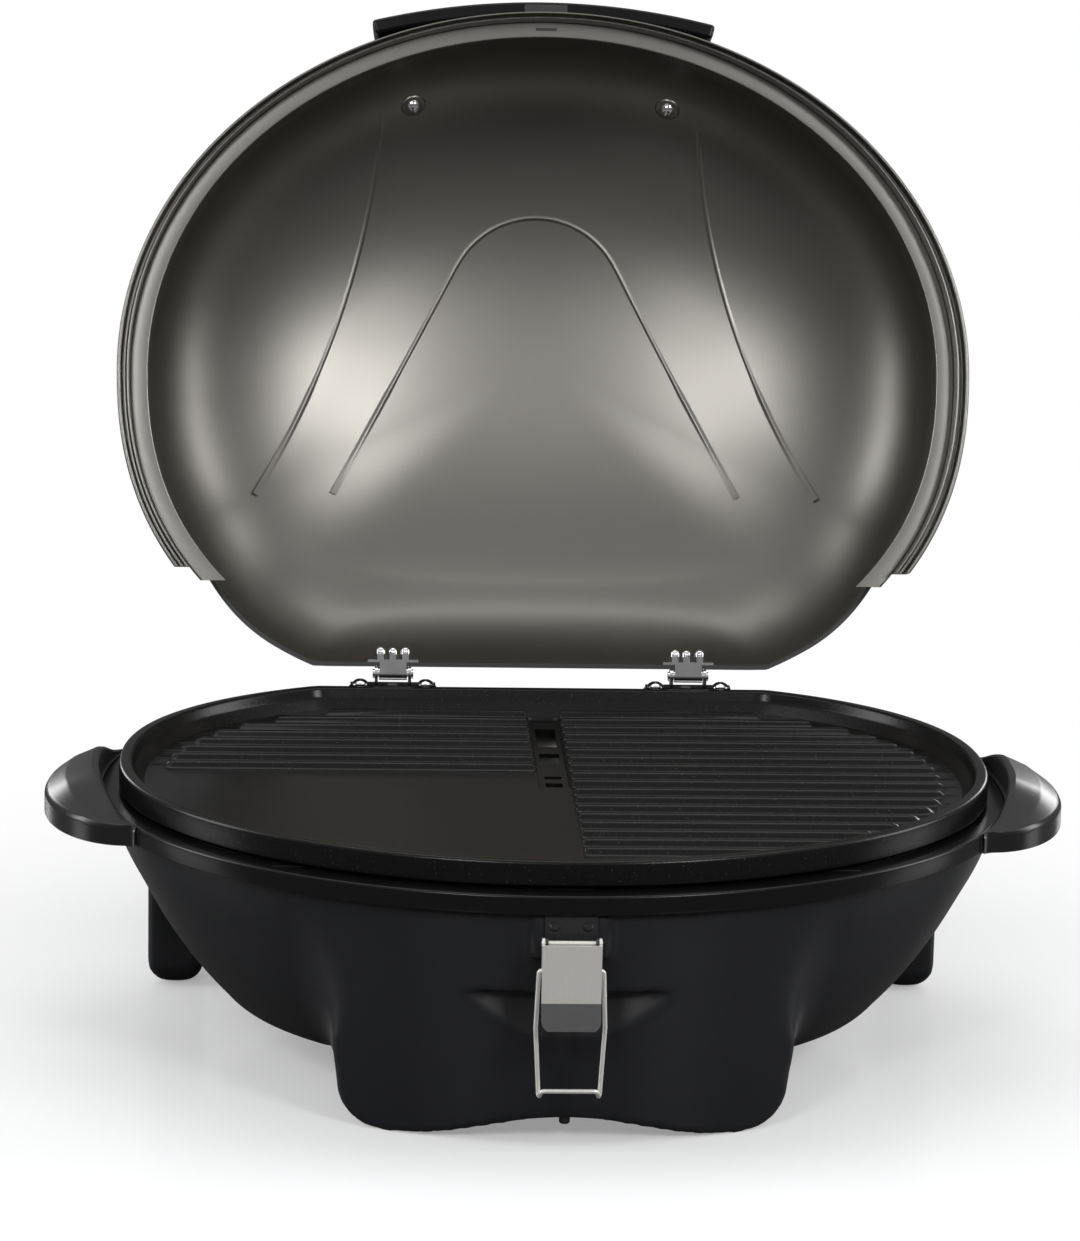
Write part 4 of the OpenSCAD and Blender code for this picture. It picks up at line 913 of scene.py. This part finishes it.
inner, outer = dome_skin(0, LIP, EDGE, 110), dome_skin(SHEET, EDGE, EDGE, 44)
m = len(inner) * LID_AROUND
shell_faces = [f[::-1] for f in skin(inner) + caps(inner)[1:]]
inside_count = len(shell_faces)
shell_faces += [(i, (i + 1) % LID_AROUND, m + (i + 1) % LID_AROUND, m + i) for i in range(LID_AROUND)]
shell_faces += skin(outer, start=m) + caps(outer, start=m)[1:]
lid_shell = piece("lid_dome", opened(np.concatenate(inner + outer)), shell_faces, "lid", lid_metal, 50)
lid_shell.data.materials.append(lid_coat)
for p in lid_shell.data.polygons[inside_count:]:
    p.material_index = 1
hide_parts("lid_shell")
print("lid dome:", len(lid_shell.data.polygons), "faces")

# %% Lid lip and hemmed edge, up to the notches
EDGE_STEPS = 300


def edge_sweep(profile, stop_y):
    """Sweep (offset, height) from notch to notch; the front is slimmer than the sides."""
    rings = []
    for g, z in profile:
        end = math.asin(min(1, ((stop_y - WIDE_Y) / (BULGE + g)) ** (1 / REAR_POWER)))
        t = np.linspace(-math.pi - end, end, EDGE_STEPS)
        x, y = outline_at(t, g)
        if g > 0:
            slim = np.clip(-np.sin(t), 0, 1)
            y = y + 0.42 * g * slim
            x = x * (1 + 0.1 * g * (1 - slim) / HALF_WIDTH)
        rings.append(np.column_stack([x, y, np.full(EDGE_STEPS, z)]))
    count = len(rings) * EDGE_STEPS
    ends = [tuple(range(0, count, EDGE_STEPS)), tuple(range(EDGE_STEPS - 1, count, EDGE_STEPS))[::-1]]
    return opened(np.concatenate(rings)), skin(rings, around=False, along=True) + ends


hem_path = fillet([(2.6, 167.0), (3.0, 152.4), (4.4, 152.4), (4.7, 159), (7.1, 159), (7.4, 149.3),
                   (9.5, 149.3), (9.5, 168.8), (2.6, 168.8)],
                  [0.3, 0.6, 0.6, 0.8, 0.8, 0.9, 0.9, 2.0, 0.3], steps=4)
lip_path = fillet([(-8.4, LIP), (2.2, LIP), (3.0, LIP + 0.8), (3.0, 168.8), (-7.2, 168.8)],
                  [0.9, 0.8, 0.4, 0.5, 0.5], steps=4)
# Lip and hem take the darker copy of the lid metal, which paints shade along the edge; the outermost wall
# takes the outer coat.
lid_hem = piece("lid_hem", *edge_sweep(hem_path, 142.0), "lid", lid_rim_shaded, 50)
lid_hem.data.materials.append(lid_coat)
coated = 9.2  # the outermost wall wears the same coat as the dome's outside
for p in lid_hem.data.polygons[:-2]:
    k = p.index // (EDGE_STEPS - 1)
    if min(hem_path[k][0], hem_path[(k + 1) % len(hem_path)][0]) > coated:
        p.material_index = 1
lid_lip = piece("lid_lip", *edge_sweep(lip_path, 150.0), "lid", lid_rim_shaded, 50)
print("lid lip and hem:", len(lid_hem.data.polygons) + len(lid_lip.data.polygons), "faces")

# %% [markdown]
# The press leaves creases on the inside of the dome: two long ones that run down from beside
# the handle screws, and one arch between them. The bands between them are pressed flatter
# than the dome, which is why a lamp's glow stops at the creases. Each crease itself is a
# fine strip that follows the dome, sunk at its edges so that it grows out of the sheet.

# %% Creases in the dome


def crease(name, plan, start=40, width=4.2, height=0.75, sunk=0.12):
    """A strip with a round section along a path of the plan, faded out at both ends."""
    path, u, heading = even_path(plan, 240, 12)
    q = np.linspace(-1, 1, 9)
    rings = []
    for p, gone, (dx, dy) in zip(path, u, heading):
        flat = p + np.outer(q, (-dy, dx)) * width / 2
        fade = float(ease(gone, -4, start) * ease(u[-1] - gone, -4, 75))
        rise = height * fade * (0.5 + 0.5 * np.cos(math.pi * q)) - sunk
        x, y = flat.T
        rings.append(np.column_stack([flat, dome_height(x, y) - flattened(x, y) - rise]))
    o = piece(name, opened(np.concatenate(rings)), skin(rings, around=False), "lid", lid_metal, 80)
    return o


long_plan = [(long_crease(y), y) for y in np.linspace(-158, 92, 40)]
arch = [(ARCH_R * math.sin(a), ARCH_TOP + ARCH_R * (1 - math.cos(a)))
        for a in np.linspace(0, math.pi / 2 - ARCH_LEAN, 16)]
arch += [(arch_leg(y), y) for y in np.linspace(ARCH_TURN_Y + 4, 90, 24)]
crease("crease_right", long_plan)
crease("crease_left", [(-x, y) for x, y in long_plan])
crease("crease_arch", [(-x, y) for x, y in arch[:0:-1]] + arch, start=75)
print("creases: 3")

# %% Seats under the handle screws
SCREW_X, SCREW_Y = 80.0, -153.0
for s, name in ((-1, "left"), (1, "right")):
    n = -dome_normal(s * SCREW_X, SCREW_Y)
    a, b = across(n, (0, 0, 1))
    centre = np.array([s * SCREW_X, SCREW_Y, dome_height(s * SCREW_X, SCREW_Y)])
    rings = [circle(centre + d * n, r, 48, a, b)
             for r, d in ((8.6, -0.6), (7.9, 0.2), (7.3, 0.95), (6.6, 1.2), (2.0, 1.2))]
    seat = piece("screw_seat_" + name, opened(np.concatenate(rings)), skin(rings), "lid", lid_metal, 50)
print("screw seats: 2")

# %% [markdown]
# ## Lid handle
# The handle is a curved visor outside the dome, held by two bosses. Its section is a quarter
# of an ellipse with an even wall, turned about a far centre, and its edges are well rounded.

# %% Lid handle
GRIP_R, GRIP_Y, GRIP_Z, DEEP, HIGH, WALL = 447.0, -213.5, 198.0, 75.0, 72.0, 9.0
GRIP_HALF = 107.0
quarter = np.radians(np.linspace(0, 90, 13))
section = [(GRIP_R - DEEP + deep * math.cos(a), GRIP_Z + high * math.sin(a))
           for deep, high, turn in ((DEEP, HIGH, quarter), (DEEP - WALL, HIGH - WALL, quarter[::-1]))
           for a in turn]
half = math.asin(GRIP_HALF / GRIP_R)
rings = [np.array([(r * math.sin(a), GRIP_Y + GRIP_R - r * math.cos(a), z) for r, z in section])
         for a in np.linspace(half, -half, 41)]
parts = [loft(rings)]
for s in (-1, 1):
    n = dome_normal(s * SCREW_X, SCREW_Y)
    a, b = across(n, (1, 0, 0))
    base = np.array([s * SCREW_X, SCREW_Y, dome_height(s * SCREW_X, SCREW_Y)])
    rings = [circle(base + d * n, r, 32, a, b) for r, d in ((11.5, 2.0), (11, 8), (10.5, 17))]
    parts.append((np.concatenate(rings), skin(rings) + caps(rings)[1:]))
points, faces = join(*parts)
lid_handle = soften(piece("lid_grip", opened(points), faces, "lid", ring_gloss, 60), 2.2, 4, 50)
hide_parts("lid_handle")
print("lid handle:", len(lid_handle.data.polygons), "faces")

# %% [markdown]
# ## Bail
# The bail is one length of round wire. Its bends are points of half the wire, mirrored, and
# the path between them is relaxed a little. A circle carried along that path makes the wire,
# and it keeps an even thickness in the bends, which a bevelled curve would not.

# %% Latch bail
WIRE_R = 1.25
half_bail = [(13.7, -209, 109), (15.9, -209, 109), (17.0, -209, 108.6), (17.4, -209, 107.4),
             (18.6, -209, 77.05), (16.5, -209, 40.2), (16.0, -209.9, 38.7), (15.1, -213, 42), (14, -214, 43)]
path, u, heading = even_path(half_bail + [(-x, y, z) for x, y, z in half_bail[::-1]], 420, 3)
rings = [circle(p, WIRE_R, 14, *across(d, (0, 1, 0))) for p, d in zip(path, heading)]
bail = piece("wire_bail", *loft(rings), "bail", steel, 60)
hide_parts("latch_bail")
print("bail wire length:", round(float(u[-1]), 1), "mm")

# %% [markdown]
# ## Floor, light and camera
# The photograph is a studio shot on white: two soft boxes in front, one to each side, whose
# glow shows twice in the lid, and much white all round. The floor is pale and a little
# glossy, so that the grill stands on a faint reflection.

# %% Floor
floor_mesh = bpy.data.meshes.new("floor")
floor_mesh.from_pydata([(-6, -5, 0), (6, -5, 0), (6, 7, 0), (-6, 7, 0)], [], [(0, 1, 2, 3)])
floor = bpy.data.objects.new("floor", floor_mesh)
bpy.context.scene.collection.objects.link(floor)
white = bpy.data.materials.new("white_floor")
white.use_nodes = True
tree = white.node_tree
bsdf = tree.nodes["Principled BSDF"]
bsdf.inputs["Roughness"].default_value = 0.1
NEAR, FAR = 0.2, 0.62
glow = tree.nodes.new("ShaderNodeEmission")
rays = tree.nodes.new("ShaderNodeLightPath")
place = tree.nodes.new("ShaderNodeTexCoord")
squeeze = add(tree, "ShaderNodeVectorMath", operation="MULTIPLY")
squeeze.inputs[1].default_value = (1.0, 0.8, 0.0)
far = add(tree, "ShaderNodeVectorMath", operation="LENGTH")
fade = add(tree, "ShaderNodeMapRange", interpolation_type="SMOOTHSTEP")
fade.inputs["From Min"].default_value, fade.inputs["From Max"].default_value = NEAR, FAR
fade.inputs["To Min"].default_value = 0.3
away = add(tree, "ShaderNodeMath", operation="MULTIPLY")
blend = tree.nodes.new("ShaderNodeMixShader")
tree.links.new(place.outputs["Object"], squeeze.inputs[0])
tree.links.new(squeeze.outputs[0], far.inputs[0])
tree.links.new(far.outputs["Value"], fade.inputs["Value"])
tree.links.new(fade.outputs[0], away.inputs[0])
tree.links.new(rays.outputs["Is Camera Ray"], away.inputs[1])
SHADE, SEEN = (0.13, 0.13, 0.132, 1), (0.93, 0.935, 0.945, 1)
tone = add(tree, "ShaderNodeMix", data_type="RGBA")
tone.inputs[6].default_value, tone.inputs[7].default_value = SHADE, SEEN
tree.links.new(rays.outputs["Is Camera Ray"], tone.inputs[0])
tree.links.new(tone.outputs[2], bsdf.inputs["Base Color"])
tree.links.new(away.outputs[0], blend.inputs[0])
tree.links.new(bsdf.outputs[0], blend.inputs[1])
tree.links.new(glow.outputs[0], blend.inputs[2])
tree.links.new(blend.outputs[0], tree.nodes["Material Output"].inputs["Surface"])
floor_mesh.materials.append(white)
print("floor made")

# %% World: white for the camera, gentle as a light
world = bpy.data.worlds.new("studio")
bpy.context.scene.world = world
world.use_nodes = True
tree = world.node_tree
background = tree.nodes["Background"]
rays = tree.nodes.new("ShaderNodeLightPath")
direction = tree.nodes.new("ShaderNodeTexCoord")
axis = tree.nodes.new("ShaderNodeSeparateXYZ")
height = add(tree, "ShaderNodeMapRange", interpolation_type="SMOOTHSTEP")
height.inputs["From Min"].default_value, height.inputs["From Max"].default_value = 0.15, 0.95
height.inputs["To Min"].default_value, height.inputs["To Max"].default_value = 0.16, 0.6
strength = add(tree, "ShaderNodeMix", data_type="FLOAT")
tree.links.new(direction.outputs["Generated"], axis.inputs[0])
tree.links.new(axis.outputs["Z"], height.inputs["Value"])
tree.links.new(height.outputs[0], strength.inputs[2])
strength.inputs[3].default_value = 1.0
tree.links.new(rays.outputs["Is Camera Ray"], strength.inputs[0])
tree.links.new(strength.outputs[0], background.inputs["Strength"])
background.inputs["Color"].default_value = (1, 1, 1, 1)
print("world made")

# %% Lamps


def soft_box(name, at, look, size, watts):
    """A rectangular lamp at one point that looks at another."""
    lamp = bpy.data.lights.new(name, "AREA")
    lamp.shape, lamp.size, lamp.size_y, lamp.energy = "RECTANGLE", size[0], size[1], watts
    o = bpy.data.objects.new(name, lamp)
    o.location = at
    o.rotation_euler = (Vector(look) - Vector(at)).to_track_quat("-Z", "Y").to_euler()
    bpy.context.scene.collection.objects.link(o)


soft_box("soft_box_right", (0.9, -1.55, 1.12), (0, 0.2, 0.3), (0.4, 0.4), 14)
soft_box("soft_box_left", (-0.66, -1.66, 1.12), (0, 0.2, 0.3), (0.4, 0.4), 11)
soft_box("top_box", (0, 0.35, 2.3), (0, 0.05, 0.2), (2.4, 1.0), 15)
soft_box("side_left", (-2.1, 0.1, 0.9), (0, 0, 0.15), (0.8, 1.4), 24)
soft_box("side_right", (2.1, 0.1, 0.9), (0, 0, 0.15), (0.8, 1.4), 24)
soft_box("back_left", (-1.35, 2.3, 0.75), (0, 0, 0.15), (0.5, 0.7), 7)
soft_box("back_right", (1.35, 2.3, 0.75), (0, 0, 0.15), (0.5, 0.7), 7)

# %% [markdown]
# The camera was found from the photograph by fitting the plate, ring and lid outlines, which
# share one known shape. It stands 2.7 m away, 15 degrees above the plate, with a long lens.

# %% Camera
yaw, pitch, roll = 0.0473, 0.2275, 0.0207
EYE_X, EYE_Y, EYE_Z = -0.1391, -2.7095, 0.8801
FOCAL_PIXELS, PHOTO_HEIGHT, SENSOR = 4899.58, 1241, 36.0
forward = Vector((math.sin(yaw) * math.cos(pitch), math.cos(yaw) * math.cos(pitch), -math.sin(pitch)))
right0 = Vector((math.cos(yaw), -math.sin(yaw), 0))
up0 = right0.cross(forward)
right = right0 * math.cos(roll) + up0 * math.sin(roll)
up = up0 * math.cos(roll) - right0 * math.sin(roll)
camera_data = bpy.data.cameras.new("camera")
camera = bpy.data.objects.new("camera", camera_data)
bpy.context.scene.collection.objects.link(camera)
camera.matrix_world = Matrix(((right.x, up.x, -forward.x, EYE_X), (right.y, up.y, -forward.y, EYE_Y),
                              (right.z, up.z, -forward.z, EYE_Z), (0, 0, 0, 1)))
camera_data.sensor_fit = "AUTO"
camera_data.sensor_width = SENSOR
camera_data.lens = FOCAL_PIXELS / PHOTO_HEIGHT * SENSOR
camera_data.clip_end = 50
bpy.context.scene.camera = camera
bpy.context.scene.view_settings.view_transform = "Standard"
print("camera lens", round(camera_data.lens, 1), "mm on 36 mm")
